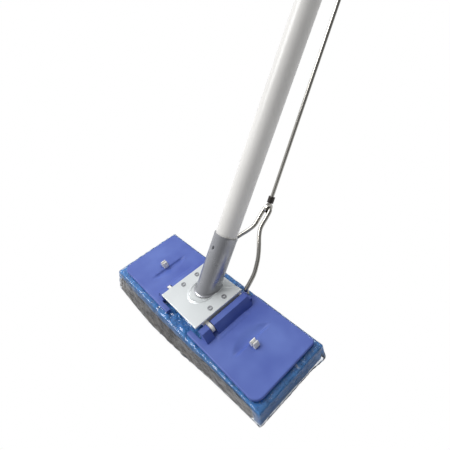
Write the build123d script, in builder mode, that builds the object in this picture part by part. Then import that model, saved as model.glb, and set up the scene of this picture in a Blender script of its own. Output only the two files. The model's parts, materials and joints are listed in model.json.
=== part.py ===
from build123d import *
import math
import os

# Butterfly sponge mop. Millimetres, +Z up, +X along the head, +Y to the rear, where the
# pole leans. Origin at the middle of the working face, under the centre plate.

# wings
WING_SPAN = 229.2
WING_DEPTH = 78.6
WING_TOP = 30.0
WING_THICKNESS = 3.0
FRONT_CORNER_R = 9.5
REAR_CORNER_R = 4.0
TAB_WIDTH = 5.4
TAB_REACH = 17.5
REAR_REACH = 2.0
RIM_CHAMFER = 0.8
DENT_DEPTH = 0.6
DENT_HALF = 24.5
DENT_BOW = 6.0
STUD_X = 76.4
STUD_Y = -1.6
# hinge, front to rear along each wing
HINGE_X = 36.0
HINGE_RISE = 5.5
BARREL_R = 5.0
FOOT_INNER = 2.4
FOOT_LIFT = 2.0
BOSS_FOOT = 4.4
KNUCKLE_FOOT = 7.0
PIN_R = 2.0
PIN_CLEARANCE = 0.05
FRONT_CLAW_R = 4.2
REAR_CLAW_R = 3.4
FRONT_CLAW_ARM = 3.5
REAR_CLAW_ARM = 2.2
POCKET_CLEARANCE = 0.35
KNUCKLE_INSET = 7.1
KNUCKLE_LENGTH = 9.7
FRONT_CLAW_WIDTH = 3.4
REAR_CLAW_WIDTH = 2.6
CLAW_GAP = 0.9
BOSS_END_WALL = 1.0
EAR_INSET = 6.9
EAR_GAP = 0.4
EAR_POST = 6.0
EAR_THICKNESS = 3.3
# centre plate, hinge block and socket
PLATE_INSET = 6.0
PLATE_THICKNESS = 1.7
PLATE_RISE = 8.4
PLATE_CHAMFER = 0.4
BLOCK_INSET = 1.0
BLOCK_RISE = 0.7
BLOCK_FRONT = 2.4
RECESS_DEPTH = 0.9
RECESS_LENGTH = 7.6
RECESS_LIP = 1.6
RECESS_NARROW = 11.0
RIVET_INSET = 7.2
RIVET_YS = (-8.7, 10.1)
RIVET_HEAD_R = 2.6
RIVET_HEAD = 0.7
RIVET_SHANK_R = 1.6
COLLAR_SIDE = 1.8
COLLAR_SEMI_Y = 18.5
COLLAR_SHIFT = 6.2
COLLAR_THICKNESS = 1.0
POLE_LEAN = 36.7
POLE_FOOT_Y = 8.2
POLE_R = 11.1
POLE_WALL = 0.9
POLE_START = 10.0
POLE_END = 1180.0
SOCKET_WALL = 1.3
SOCKET_LENGTH = 60.0
SOCKET_RIVET_S = 45.0
SOCKET_RIVET_ANGLE = 259.0
SOCKET_HEAD_R = 1.9
# grip and cap
GRIP_LENGTH = 110.0
GRIP_WALL = 2.6
GRIP_GROOVES = 8
CAP_LENGTH = 12.0
CAP_PLUG = 18.0
CAP_TAB_HALF = 4.0
HANG_HOLE_R = 4.5
HANG_HOLE_RISE = 24.0
# refill
END_OVERHANG = 4.8
FRONT_OVERHANG = 5.7
REAR_OVERHANG = 2.7
MIDDLE_DIP = 0.8
STRIP_THICKNESS = 6.0
STRIP_TOP = 15.0
STRIP_SHORT = 9.0
FILM = 0.5
BACK_THICKNESS = 2.0
BACK_INNER_INSET = 8.0
BACK_OUTER_INSET = 4.6
BACK_SIDE_INSET = 5.3
STUD_R = 3.6
STUD_RISE = 6.4
STUD_SPLIT = 2.0
STUD_CLEARANCE = 0.4
SIDE_GAP = 0.3
# pull rod, yoke and lever
ROD_R = 2.0
ROD_RISE = 6.4
KNOT_BEHIND = 73.4
KNOT_ABOVE = 43.3
EYE_RADIUS = 4.3
EYE_WIRE_R = 1.4
EYE_S = 734.0
EYE_OUTER_R = 4.3
YOKE_R = 2.3
YOKE_ARM = (6.5, 5.0)
SLOT_CLEARANCE = 0.9
SLOT_TRAVEL = 4.1
SLOT_ARM = 7.55
EAR_WALL = 1.2
LEVER_ARM = 12.0
LEVER_REST_ANGLE = 19.4
LEVER_LENGTH = 134.0
LEVER_START = 14.0
LEVER_DEPTH = 6.4
LEVER_PIN_R = 2.5
LEVER_GRIP_START = 38.0
LEVER_GRIP_LENGTH = 100.0
LEVER_GRIP_SIZE = (13.0, 14.0)
CHEEK_X = (2.2, 3.8)
EAR_X = (4.2, 5.8)
BAND_S = (750.0, 770.0)
BAND_WALL = 2.0

# places that follow from the sizes
HALF_SPAN = WING_SPAN / 2
HALF_DEPTH = WING_DEPTH / 2
WING_BOTTOM = WING_TOP - WING_THICKNESS
HINGE_Z = WING_TOP + HINGE_RISE
KNUCKLE_Y = (KNUCKLE_INSET - HALF_DEPTH, KNUCKLE_INSET + KNUCKLE_LENGTH - HALF_DEPTH)
FRONT_CLAW_Y = (KNUCKLE_Y[1] + CLAW_GAP, KNUCKLE_Y[1] + CLAW_GAP + FRONT_CLAW_WIDTH)
EAR_Y = (HALF_DEPTH - EAR_INSET - EAR_THICKNESS, HALF_DEPTH - EAR_INSET)
BOSS_Y = (FRONT_CLAW_Y[1] + CLAW_GAP, EAR_Y[0] - EAR_GAP)
REAR_CLAW_END = BOSS_Y[1] - BOSS_END_WALL - POCKET_CLEARANCE
REAR_CLAW_Y = (REAR_CLAW_END - REAR_CLAW_WIDTH, REAR_CLAW_END)
PLATE_HALF_X = HINGE_X - PLATE_INSET
PLATE_Y = (KNUCKLE_Y[0] - 1.0, BOSS_Y[1] - 0.1)
RECESS_WIDE = PLATE_HALF_X - 4.4
PLATE_TOP = HINGE_Z + PLATE_RISE
BLOCK_HALF_X = PLATE_HALF_X - BLOCK_INSET
BLOCK_BOTTOM = HINGE_Z + BLOCK_RISE
RIVETS = [(x, y) for x in (RIVET_INSET - PLATE_HALF_X, PLATE_HALF_X - RIVET_INSET) for y in RIVET_YS]
LEAN = math.radians(POLE_LEAN)
ALONG = (0, math.sin(LEAN), math.cos(LEAN))
UNDER = (0, math.cos(LEAN), -math.sin(LEAN))
SOCKET_R = POLE_R + SOCKET_WALL
GRIP_START = POLE_END - GRIP_LENGTH
HANG_HOLE_S = POLE_END + HANG_HOLE_RISE
SPONGE_END_X = HALF_SPAN + END_OVERHANG
SPONGE_FRONT_Y = -HALF_DEPTH - FRONT_OVERHANG
SPONGE_REAR_Y = HALF_DEPTH + REAR_OVERHANG
SPONGE_TOP = WING_BOTTOM - BACK_THICKNESS
MIDDLE_TOP = SPONGE_TOP - MIDDLE_DIP
BACK_X = (HINGE_X + BACK_INNER_INSET, HALF_SPAN - BACK_OUTER_INSET)
BACK_HALF_Y = HALF_DEPTH - BACK_SIDE_INSET
KNOT = (EAR_Y[1] + KNOT_BEHIND, PLATE_TOP + KNOT_ABOVE)
EYE_N = POLE_R + ROD_RISE
YOKE_X = HINGE_X - YOKE_ARM[0]
YOKE_Z = HINGE_Z - YOKE_ARM[1]

os.makedirs("parts", exist_ok=True)


def on_pole(s, n=0.0, x=0.0):
    """Point at height s along the pole, n out on the rod's side and x sideways."""
    y = POLE_FOOT_Y + s * ALONG[1] + n * UNDER[1]
    z = PLATE_TOP + s * ALONG[2] + n * UNDER[2]
    return (x, y, z)


def round_plane(s):
    """Plane square to the pole at height s; its local Y points to the rod's side."""
    return Plane(origin=on_pole(s), x_dir=(1, 0, 0), z_dir=ALONG)


def side_plane(s, n, x=0.0):
    """Plane facing +X at a point beside the pole; local X is the rod's side."""
    return Plane(origin=on_pole(s, n, x), x_dir=UNDER, z_dir=(1, 0, 0))


def section(y):
    """Plane facing the front at depth y, with local X and Y along X and Z."""
    return Plane(origin=(0, y, 0), x_dir=(1, 0, 0), z_dir=(0, -1, 0))


def end_plane(x):
    """Plane facing +X at x, with local X and Y along Y and Z."""
    return Plane(origin=(x, 0, 0), x_dir=(0, 1, 0), z_dir=(1, 0, 0))


def save(builder, label):
    builder.part.label = label
    export_step(builder.part, "parts/" + label + ".step")


# ---------------------------------------------------------------- wings
def barrel(y_range, outer_x):
    """Hinge barrel with its foot down to the wing plate."""
    with BuildPart() as piece:
        with BuildSketch(section(y_range[1])):
            with Locations((HINGE_X, HINGE_Z)):
                Circle(BARREL_R)
            with BuildLine():
                Polyline(
                    (HINGE_X - FOOT_INNER, WING_BOTTOM + FOOT_LIFT),
                    (outer_x, WING_BOTTOM + FOOT_LIFT),
                    (outer_x, WING_TOP),
                    (HINGE_X + BARREL_R - 0.4, HINGE_Z + 1.5),
                    (HINGE_X - FOOT_INNER, HINGE_Z + 1.5),
                    close=True,
                )
            make_face()
        extrude(amount=y_range[1] - y_range[0])
    return piece.part


boss = barrel(BOSS_Y, HINGE_X + BOSS_FOOT)
knuckle = barrel(KNUCKLE_Y, HINGE_X + KNUCKLE_FOOT)

with BuildPart() as wing_right:
    with BuildSketch(Plane.XY.offset(WING_BOTTOM)):
        with BuildLine():
            Polyline(
                (HINGE_X - TAB_REACH, -HALF_DEPTH),
                (HALF_SPAN, -HALF_DEPTH),
                (HALF_SPAN, HALF_DEPTH),
                (HINGE_X - REAR_REACH, HALF_DEPTH),
                (HINGE_X - REAR_REACH, EAR_Y[1] + 0.6),
                (HINGE_X, EAR_Y[1] + 0.6),
                (HINGE_X, -HALF_DEPTH + TAB_WIDTH),
                (HINGE_X - TAB_REACH, -HALF_DEPTH + TAB_WIDTH),
                close=True,
            )
        make_face()
    extrude(amount=WING_THICKNESS)
    outer_edges = wing_right.edges().filter_by(Axis.Z).group_by(Axis.X)[-1].sort_by(Axis.Y)
    fillet(outer_edges[0], FRONT_CORNER_R)
    outer_edges = wing_right.edges().filter_by(Axis.Z).sort_by(Axis.X)
    rear_edges = outer_edges.filter_by_position(Axis.Y, HALF_DEPTH - 0.1, HALF_DEPTH + 0.1)
    fillet(rear_edges.sort_by(Axis.X)[-1], REAR_CORNER_R)
    rim = wing_right.faces().sort_by(Axis.Z)[-1].edges().filter_by_position(
        Axis.X, HINGE_X + 20, HALF_SPAN + 1
    )
    chamfer(rim, RIM_CHAMFER)
    # notch in the plate for the front claw
    with BuildSketch(Plane.XY.offset(WING_BOTTOM - 1)):
        with Locations((HINGE_X, (KNUCKLE_Y[1] + BOSS_Y[0]) / 2)):
            Rectangle(13.0, BOSS_Y[0] - KNUCKLE_Y[1])
    extrude(amount=WING_THICKNESS + 2, mode=Mode.SUBTRACT)
    add(boss)
    add(knuckle)
    # pocket in the boss for the rear claw, open to the handle's side and below
    pocket_x = HINGE_X - BARREL_R - 2.0
    pocket_top = BLOCK_BOTTOM + REAR_CLAW_ARM + POCKET_CLEARANCE
    with BuildSketch(section(REAR_CLAW_Y[1] + POCKET_CLEARANCE)):
        with Locations((HINGE_X, HINGE_Z)):
            Circle(REAR_CLAW_R + POCKET_CLEARANCE)
        with Locations(((pocket_x + HINGE_X) / 2, (WING_BOTTOM + pocket_top) / 2)):
            Rectangle(HINGE_X - pocket_x, pocket_top - WING_BOTTOM)
    extrude(amount=REAR_CLAW_WIDTH + 2 * POCKET_CLEARANCE, mode=Mode.SUBTRACT)
    # rear ear that the yoke pulls
    ear_drop = math.degrees(math.atan2(HINGE_Z - YOKE_Z, HINGE_X - YOKE_X))
    ear_dir = (-math.cos(math.radians(ear_drop)), -math.sin(math.radians(ear_drop)))
    ear_centre = (HINGE_X + SLOT_ARM * ear_dir[0], HINGE_Z + SLOT_ARM * ear_dir[1])
    with BuildSketch(section(EAR_Y[1])):
        with Locations(Location(ear_centre, ear_drop)):
            SlotCenterToCenter(SLOT_TRAVEL, 2 * (YOKE_R + SLOT_CLEARANCE + EAR_WALL))
        with Locations((HINGE_X - FOOT_INNER + EAR_POST / 2, (WING_BOTTOM + HINGE_Z - 0.5) / 2)):
            Rectangle(EAR_POST, HINGE_Z - 0.5 - WING_BOTTOM)
    extrude(amount=EAR_Y[1] - EAR_Y[0])
    with BuildSketch(section(EAR_Y[1] + 1)):
        with Locations(Location(ear_centre, ear_drop)):
            SlotCenterToCenter(SLOT_TRAVEL, 2 * (YOKE_R + SLOT_CLEARANCE))
    extrude(amount=EAR_Y[1] - EAR_Y[0] + 2, mode=Mode.SUBTRACT)
    # bore for the hinge pin, from the knuckle to the boss
    with BuildSketch(section(BOSS_Y[1] + 1)):
        with Locations((HINGE_X, HINGE_Z)):
            Circle(PIN_R + PIN_CLEARANCE)
    extrude(amount=BOSS_Y[1] - KNUCKLE_Y[0] - 0.2, mode=Mode.SUBTRACT)
    # hole for the snap stud
    with BuildSketch(Plane.XY.offset(WING_BOTTOM - 1)):
        with Locations((STUD_X, STUD_Y)):
            Circle(STUD_R + STUD_CLEARANCE)
    extrude(amount=WING_THICKNESS + 2, mode=Mode.SUBTRACT)
    # shallow lens-shaped dent beside the stud
    dent_x = STUD_X - STUD_R - 2.8
    with BuildSketch(Plane.XY.offset(WING_TOP - DENT_DEPTH)):
        with BuildLine():
            ThreePointArc((dent_x, -DENT_HALF), (dent_x - DENT_BOW, -0.5), (dent_x, DENT_HALF))
            Line((dent_x, DENT_HALF), (dent_x, -DENT_HALF))
        make_face()
    extrude(amount=DENT_DEPTH + 1, mode=Mode.SUBTRACT)
save(wing_right, "wing_right")

with BuildPart() as wing_left:
    mirror(wing_right.part, about=Plane.YZ)
save(wing_left, "wing_left")

# ---------------------------------------------------------------- refill backing
with BuildPart() as refill_back_right:
    with BuildSketch(Plane.XY.offset(SPONGE_TOP)):
        with Locations(((BACK_X[0] + BACK_X[1]) / 2, 0)):
            RectangleRounded(BACK_X[1] - BACK_X[0], 2 * BACK_HALF_Y, 5)
    extrude(amount=BACK_THICKNESS)
    with BuildSketch(Plane.XY.offset(WING_BOTTOM)):
        with Locations((STUD_X, STUD_Y)):
            Circle(STUD_R)
    extrude(amount=WING_THICKNESS + 0.4)
    with BuildSketch(Plane.XY.offset(WING_TOP + 0.4)):
        with Locations((STUD_X, STUD_Y)):
            Circle(STUD_R + 0.2)
    extrude(amount=STUD_RISE - 0.4, taper=14)
    with BuildSketch(Plane.XY.offset(WING_TOP - 1.0)):
        with Locations((STUD_X, STUD_Y)):
            Rectangle(STUD_SPLIT, 4 * STUD_R)
    extrude(amount=12, mode=Mode.SUBTRACT)
save(refill_back_right, "refill_back_right")

with BuildPart() as refill_back_left:
    mirror(refill_back_right.part, about=Plane.YZ)
save(refill_back_left, "refill_back_left")


# ---------------------------------------------------------------- sponge, strip and film
def sponge_block(x_start, x_end, top):
    """Plain block of sponge behind the scrubbing strip."""
    with BuildPart() as piece:
        with BuildSketch(end_plane(x_start)):
            with BuildLine():
                Polyline(
                    (SPONGE_FRONT_Y, FILM),
                    (SPONGE_REAR_Y, FILM),
                    (SPONGE_REAR_Y, top),
                    (SPONGE_FRONT_Y, top),
                    close=True,
                )
            make_face()
        extrude(amount=x_end - x_start)
    return piece.part


def strip_block(x_start, x_end):
    """Scrubbing strip on the lower front of the sponge."""
    front = SPONGE_FRONT_Y - STRIP_THICKNESS
    with BuildPart() as piece:
        with BuildSketch(end_plane(x_start)):
            with BuildLine():
                Polyline(
                    (front, FILM),
                    (SPONGE_FRONT_Y, FILM),
                    (SPONGE_FRONT_Y, STRIP_TOP),
                    (front + 2.0, STRIP_TOP),
                    (front, STRIP_TOP - 3.0),
                    close=True,
                )
            make_face()
        extrude(amount=x_end - x_start)
    return piece.part


def film_outline(gap, top):
    """Outline of the wrapped refill, grown by gap."""
    front = SPONGE_FRONT_Y - STRIP_THICKNESS
    return (
        (front - gap, FILM - gap),
        (SPONGE_REAR_Y + gap, FILM - gap),
        (SPONGE_REAR_Y + gap, top + gap),
        (SPONGE_FRONT_Y - gap, top + gap),
        (SPONGE_FRONT_Y - gap, STRIP_TOP + gap),
        (front + 2.0 - gap, STRIP_TOP + gap),
        (front - gap, STRIP_TOP - 3.0 + gap),
    )


def film_shell(x_start, x_end, x_outer, top):
    """Film wrapped round the refill from x_start, closed at x_outer if that is larger."""
    with BuildPart() as piece:
        with BuildSketch(end_plane(x_start)):
            with BuildLine():
                Polyline(*film_outline(FILM, top), close=True)
            make_face()
        extrude(amount=x_outer - x_start)
        with BuildSketch(end_plane(x_start - 1)):
            with BuildLine():
                Polyline(*film_outline(0.0, top), close=True)
            make_face()
        extrude(amount=x_end - x_start + 1, mode=Mode.SUBTRACT)
    return piece.part


with BuildPart() as sponge_right:
    add(sponge_block(HINGE_X + SIDE_GAP, SPONGE_END_X, SPONGE_TOP))
save(sponge_right, "sponge_right")

with BuildPart() as sponge_left:
    mirror(sponge_right.part, about=Plane.YZ)
save(sponge_left, "sponge_left")

with BuildPart() as sponge_middle:
    add(sponge_block(-HINGE_X, HINGE_X, MIDDLE_TOP))
save(sponge_middle, "sponge_middle")

with BuildPart() as scrub_strip_right:
    add(strip_block(HINGE_X + SIDE_GAP, SPONGE_END_X - STRIP_SHORT))
save(scrub_strip_right, "scrub_strip_right")

with BuildPart() as scrub_strip_left:
    add(strip_block(-SPONGE_END_X, -HINGE_X - SIDE_GAP))
save(scrub_strip_left, "scrub_strip_left")

with BuildPart() as scrub_strip_middle:
    add(strip_block(-HINGE_X, HINGE_X))
save(scrub_strip_middle, "scrub_strip_middle")

with BuildPart() as wrap_film_right:
    add(film_shell(HINGE_X + SIDE_GAP, SPONGE_END_X, SPONGE_END_X + FILM, SPONGE_TOP))
    # window over the backing plate
    with BuildSketch(Plane.XY.offset(SPONGE_TOP)):
        with Locations(((BACK_X[0] + BACK_X[1]) / 2, 0)):
            Rectangle(BACK_X[1] - BACK_X[0] + 1, 2 * BACK_HALF_Y + 1)
    extrude(amount=2, mode=Mode.SUBTRACT)
save(wrap_film_right, "wrap_film_right")

with BuildPart() as wrap_film_left:
    mirror(wrap_film_right.part, about=Plane.YZ)
save(wrap_film_left, "wrap_film_left")

with BuildPart() as wrap_film_middle:
    add(film_shell(-HINGE_X, HINGE_X + 1, HINGE_X, MIDDLE_TOP))
save(wrap_film_middle, "wrap_film_middle")


# ---------------------------------------------------------------- hinge block and pins
def claw(side, y_range, radius, arm):
    """One claw that reaches out round a hinge pin."""
    with BuildPart() as piece:
        with BuildSketch(section(y_range[1])):
            with Locations((side * HINGE_X, HINGE_Z)):
                Circle(radius)
            with Locations((side * (BLOCK_HALF_X + HINGE_X) / 2, BLOCK_BOTTOM + arm / 2)):
                Rectangle(HINGE_X - BLOCK_HALF_X, arm)
        extrude(amount=y_range[1] - y_range[0])
        with BuildSketch(section(y_range[1] + 1)):
            with Locations((side * HINGE_X, HINGE_Z)):
                Circle(PIN_R)
        extrude(amount=y_range[1] - y_range[0] + 2, mode=Mode.SUBTRACT)
    return piece.part


with BuildPart() as hinge_block:
    with BuildSketch(Plane.XY.offset(BLOCK_BOTTOM)):
        with BuildLine():
            Polyline(
                (-BLOCK_HALF_X, FRONT_CLAW_Y[0] - BLOCK_FRONT),
                (BLOCK_HALF_X, FRONT_CLAW_Y[0] - BLOCK_FRONT),
                (BLOCK_HALF_X, REAR_CLAW_Y[1]),
                (-BLOCK_HALF_X, REAR_CLAW_Y[1]),
                close=True,
            )
        make_face()
    extrude(amount=PLATE_TOP - PLATE_THICKNESS - BLOCK_BOTTOM)
    for claw_side in (1, -1):
        add(claw(claw_side, FRONT_CLAW_Y, FRONT_CLAW_R, FRONT_CLAW_ARM))
        add(claw(claw_side, REAR_CLAW_Y, REAR_CLAW_R, REAR_CLAW_ARM))
    with BuildSketch(Plane.XY.offset(BLOCK_BOTTOM + 1)):
        with Locations(*RIVETS):
            Circle(RIVET_SHANK_R)
    extrude(amount=12, mode=Mode.SUBTRACT)
save(hinge_block, "hinge_block")

with BuildPart() as hinge_pins:
    with BuildSketch(section(BOSS_Y[1] - 0.2)):
        with Locations((HINGE_X, HINGE_Z), (-HINGE_X, HINGE_Z)):
            Circle(PIN_R)
    extrude(amount=BOSS_Y[1] - 0.2 - KNUCKLE_Y[0] - 1.4)
save(hinge_pins, "hinge_pins")

# ---------------------------------------------------------------- centre plate
with BuildPart() as centre_plate:
    with BuildSketch(Plane.XY.offset(PLATE_TOP - PLATE_THICKNESS)):
        with Locations((0, (PLATE_Y[0] + PLATE_Y[1]) / 2)):
            Rectangle(2 * PLATE_HALF_X, PLATE_Y[1] - PLATE_Y[0])
    extrude(amount=PLATE_THICKNESS)
    chamfer(centre_plate.faces().sort_by(Axis.Z)[-1].edges(), PLATE_CHAMFER)
    with BuildSketch(Plane.XY.offset(PLATE_TOP - RECESS_DEPTH)):
        with BuildLine():
            Polyline(
                (-RECESS_NARROW, PLATE_Y[1] - RECESS_LENGTH),
                (RECESS_NARROW, PLATE_Y[1] - RECESS_LENGTH),
                (RECESS_WIDE, PLATE_Y[1] - RECESS_LIP),
                (RECESS_WIDE, PLATE_Y[1] + 1),
                (-RECESS_WIDE, PLATE_Y[1] + 1),
                (-RECESS_WIDE, PLATE_Y[1] - RECESS_LIP),
                close=True,
            )
        make_face()
    extrude(amount=RECESS_DEPTH + 1, mode=Mode.SUBTRACT)
    with BuildSketch(Plane.XY.offset(PLATE_TOP - PLATE_THICKNESS - 1)):
        with Locations(*RIVETS):
            Circle(RIVET_SHANK_R)
    extrude(amount=PLATE_THICKNESS + 2, mode=Mode.SUBTRACT)
save(centre_plate, "centre_plate")

with BuildPart() as plate_rivets:
    with BuildSketch(Plane.XY.offset(BLOCK_BOTTOM + 1)):
        with Locations(*RIVETS):
            Circle(RIVET_SHANK_R)
    extrude(amount=PLATE_TOP - BLOCK_BOTTOM - 1)
    with BuildSketch(Plane.XY.offset(PLATE_TOP)):
        with Locations(*RIVETS):
            Circle(RIVET_HEAD_R)
    extrude(amount=RIVET_HEAD)
    with BuildSketch(Plane.XY.offset(PLATE_TOP - 1)):
        with Locations(*RIVETS):
            Circle(RIVET_SHANK_R - 0.4)
    extrude(amount=2, mode=Mode.SUBTRACT)
save(plate_rivets, "plate_rivets")

# ---------------------------------------------------------------- socket and pole
with BuildPart() as socket_collar:
    with BuildSketch(Plane.XY.offset(PLATE_TOP)):
        with Locations((0, POLE_FOOT_Y - COLLAR_SHIFT)):
            Ellipse(SOCKET_R + COLLAR_SIDE, COLLAR_SEMI_Y)
    extrude(amount=COLLAR_THICKNESS)
    with BuildSketch(round_plane(-30)):
        Circle(SOCKET_R)
    extrude(amount=80, mode=Mode.SUBTRACT)
save(socket_collar, "socket_collar")

rivet_dir = (
    math.cos(math.radians(SOCKET_RIVET_ANGLE)),
    math.sin(math.radians(SOCKET_RIVET_ANGLE)),
)
rivet_axis = (
    rivet_dir[0],
    rivet_dir[1] * UNDER[1],
    rivet_dir[1] * UNDER[2],
)


def rivet_plane(reach):
    """Plane square to the socket rivet, at a distance from the pole's axis."""
    centre = on_pole(SOCKET_RIVET_S)
    origin = tuple(c + reach * a for c, a in zip(centre, rivet_axis))
    return Plane(origin=origin, z_dir=rivet_axis)


with BuildPart() as pole_socket:
    with BuildSketch(round_plane(-30)):
        Circle(SOCKET_R)
        Circle(POLE_R, mode=Mode.SUBTRACT)
    extrude(amount=30 + SOCKET_LENGTH)
    with BuildSketch(Plane.XY.offset(PLATE_TOP - 80)):
        Rectangle(200, 200)
    extrude(amount=80, mode=Mode.SUBTRACT)
    with BuildSketch(rivet_plane(5)):
        Circle(RIVET_SHANK_R)
    extrude(amount=20, mode=Mode.SUBTRACT)
save(pole_socket, "pole_socket")

with BuildPart() as handle_pole:
    with BuildSketch(round_plane(POLE_START)):
        Circle(POLE_R)
        Circle(POLE_R - POLE_WALL, mode=Mode.SUBTRACT)
    extrude(amount=POLE_END - POLE_START)
    with BuildSketch(rivet_plane(5)):
        Circle(RIVET_SHANK_R)
    extrude(amount=20, mode=Mode.SUBTRACT)
    with BuildSketch(side_plane((BAND_S[0] + BAND_S[1]) / 2, 0, -30)):
        Circle(RIVET_SHANK_R)
    extrude(amount=60, mode=Mode.SUBTRACT)
save(handle_pole, "handle_pole")

with BuildPart() as socket_rivet:
    with BuildSketch(rivet_plane(POLE_R - POLE_WALL - 0.8)):
        Circle(RIVET_SHANK_R)
    extrude(amount=SOCKET_WALL + POLE_WALL + 1.2)
    with BuildSketch(rivet_plane(SOCKET_R + 0.1)):
        Circle(SOCKET_HEAD_R)
    extrude(amount=0.6)
save(socket_rivet, "socket_rivet")

with BuildPart() as hand_grip:
    with BuildSketch(round_plane(GRIP_START)):
        Circle(POLE_R + GRIP_WALL)
        Circle(POLE_R, mode=Mode.SUBTRACT)
    extrude(amount=POLE_END - GRIP_START)
    for ring in range(GRIP_GROOVES):
        with BuildSketch(round_plane(GRIP_START + 12 + 12 * ring)):
            Circle(POLE_R + GRIP_WALL + 1)
            Circle(POLE_R + GRIP_WALL - 0.8, mode=Mode.SUBTRACT)
        extrude(amount=3, mode=Mode.SUBTRACT)
save(hand_grip, "hand_grip")

with BuildPart() as hang_cap:
    with BuildSketch(round_plane(POLE_END - CAP_PLUG)):
        Circle(POLE_R - POLE_WALL)
    extrude(amount=CAP_PLUG)
    with BuildSketch(round_plane(POLE_END)):
        Circle(POLE_R + GRIP_WALL)
    extrude(amount=CAP_LENGTH)
    with BuildSketch(side_plane(HANG_HOLE_S, 0)):
        SlotCenterToCenter(2, 2 * (POLE_R - 0.1), rotation=90)
        with Locations((0, -(HANG_HOLE_RISE - CAP_LENGTH + 4) / 2)):
            Rectangle(2 * (POLE_R - 0.1), HANG_HOLE_RISE - CAP_LENGTH + 4)
    extrude(amount=CAP_TAB_HALF, both=True)
    with BuildSketch(side_plane(HANG_HOLE_S, 0)):
        Circle(HANG_HOLE_R)
    extrude(amount=CAP_TAB_HALF + 12, both=True, mode=Mode.SUBTRACT)
save(hang_cap, "hang_cap")

# ---------------------------------------------------------------- lever and its bracket
lever_angle = math.radians(LEVER_REST_ANGLE)
PIVOT_S = EYE_S + LEVER_ARM * math.sin(lever_angle)
PIVOT_N = EYE_N + LEVER_ARM * math.cos(lever_angle)

with BuildPart() as lever_bracket:
    with BuildSketch(round_plane(BAND_S[0])):
        Circle(POLE_R + BAND_WALL)
    extrude(amount=BAND_S[1] - BAND_S[0])
    for side in (EAR_X[0], -EAR_X[1]):
        with BuildSketch(side_plane(PIVOT_S, PIVOT_N, side)):
            with BuildLine():
                Polyline(
                    (-4.5, -3.0),
                    (4.5, -3.0),
                    (5.5, 6.0),
                    (POLE_R - 3.1 - PIVOT_N, BAND_S[1] - PIVOT_S - 2.0),
                    (POLE_R - 3.1 - PIVOT_N, BAND_S[0] - PIVOT_S + 1.0),
                    close=True,
                )
            make_face()
            Circle(5.4)
        extrude(amount=EAR_X[1] - EAR_X[0])
    with BuildSketch(round_plane(BAND_S[0] - 5)):
        Circle(POLE_R)
    extrude(amount=BAND_S[1] - BAND_S[0] + 10, mode=Mode.SUBTRACT)
    with BuildSketch(side_plane(PIVOT_S, PIVOT_N)):
        Circle(LEVER_PIN_R)
    extrude(amount=10, both=True, mode=Mode.SUBTRACT)
    with BuildSketch(side_plane((BAND_S[0] + BAND_S[1]) / 2, 0, -30)):
        Circle(RIVET_SHANK_R)
    extrude(amount=60, mode=Mode.SUBTRACT)
save(lever_bracket, "lever_bracket")

with BuildPart() as bracket_rivets:
    middle = (BAND_S[0] + BAND_S[1]) / 2
    for side in (1, -1):
        with BuildSketch(side_plane(middle, 0, side * (POLE_R - POLE_WALL - 0.8))):
            Circle(RIVET_SHANK_R)
        extrude(amount=side * (BAND_WALL + POLE_WALL + 0.8))
        with BuildSketch(side_plane(middle, 0, side * (POLE_R + BAND_WALL))):
            Circle(RIVET_HEAD_R)
        extrude(amount=side * 1.0)
save(bracket_rivets, "bracket_rivets")

with BuildPart() as lever_pivot_pin:
    with BuildSketch(side_plane(PIVOT_S, PIVOT_N)):
        Circle(LEVER_PIN_R)
    extrude(amount=EAR_X[1], both=True)
    for side in (EAR_X[1], -EAR_X[1] - 1.4):
        with BuildSketch(side_plane(PIVOT_S, PIVOT_N, side)):
            Circle(LEVER_PIN_R + 1.4)
        extrude(amount=1.4)
save(lever_pivot_pin, "lever_pivot_pin")

with BuildPart() as lever:
    eye_at = (-LEVER_ARM * math.cos(lever_angle), -LEVER_ARM * math.sin(lever_angle))
    for side in (CHEEK_X[0], -CHEEK_X[1]):
        with BuildSketch(side_plane(PIVOT_S, PIVOT_N, side)):
            with Locations(eye_at):
                Circle(4.6)
            Circle(5.2)
            with BuildLine():
                Polyline(
                    (eye_at[0] + 1.4, eye_at[1] + 4.4),
                    (eye_at[0] + 0.6, eye_at[1] - 4.5),
                    (2.0, -4.8),
                    (5.0, 2.0),
                    (3.2, 24.0),
                    (-3.2, 24.0),
                    (-4.2, 3.0),
                    close=True,
                )
            make_face()
        extrude(amount=CHEEK_X[1] - CHEEK_X[0])
    with BuildSketch(side_plane(PIVOT_S, PIVOT_N)):
        with Locations((0, (LEVER_START + LEVER_LENGTH) / 2)):
            Rectangle(LEVER_DEPTH, LEVER_LENGTH - LEVER_START)
    extrude(amount=CHEEK_X[1], both=True)
    with BuildSketch(side_plane(PIVOT_S, PIVOT_N)):
        Circle(LEVER_PIN_R + PIN_CLEARANCE)
    extrude(amount=10, both=True, mode=Mode.SUBTRACT)
    with BuildSketch(side_plane(PIVOT_S, PIVOT_N)):
        with Locations(Location((eye_at[0] * 0.97, eye_at[1] * 0.97), LEVER_REST_ANGLE)):
            SlotCenterToCenter(1.4, 2 * (PIN_R + 0.35))
    extrude(amount=10, both=True, mode=Mode.SUBTRACT)
save(lever, "lever")

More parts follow.
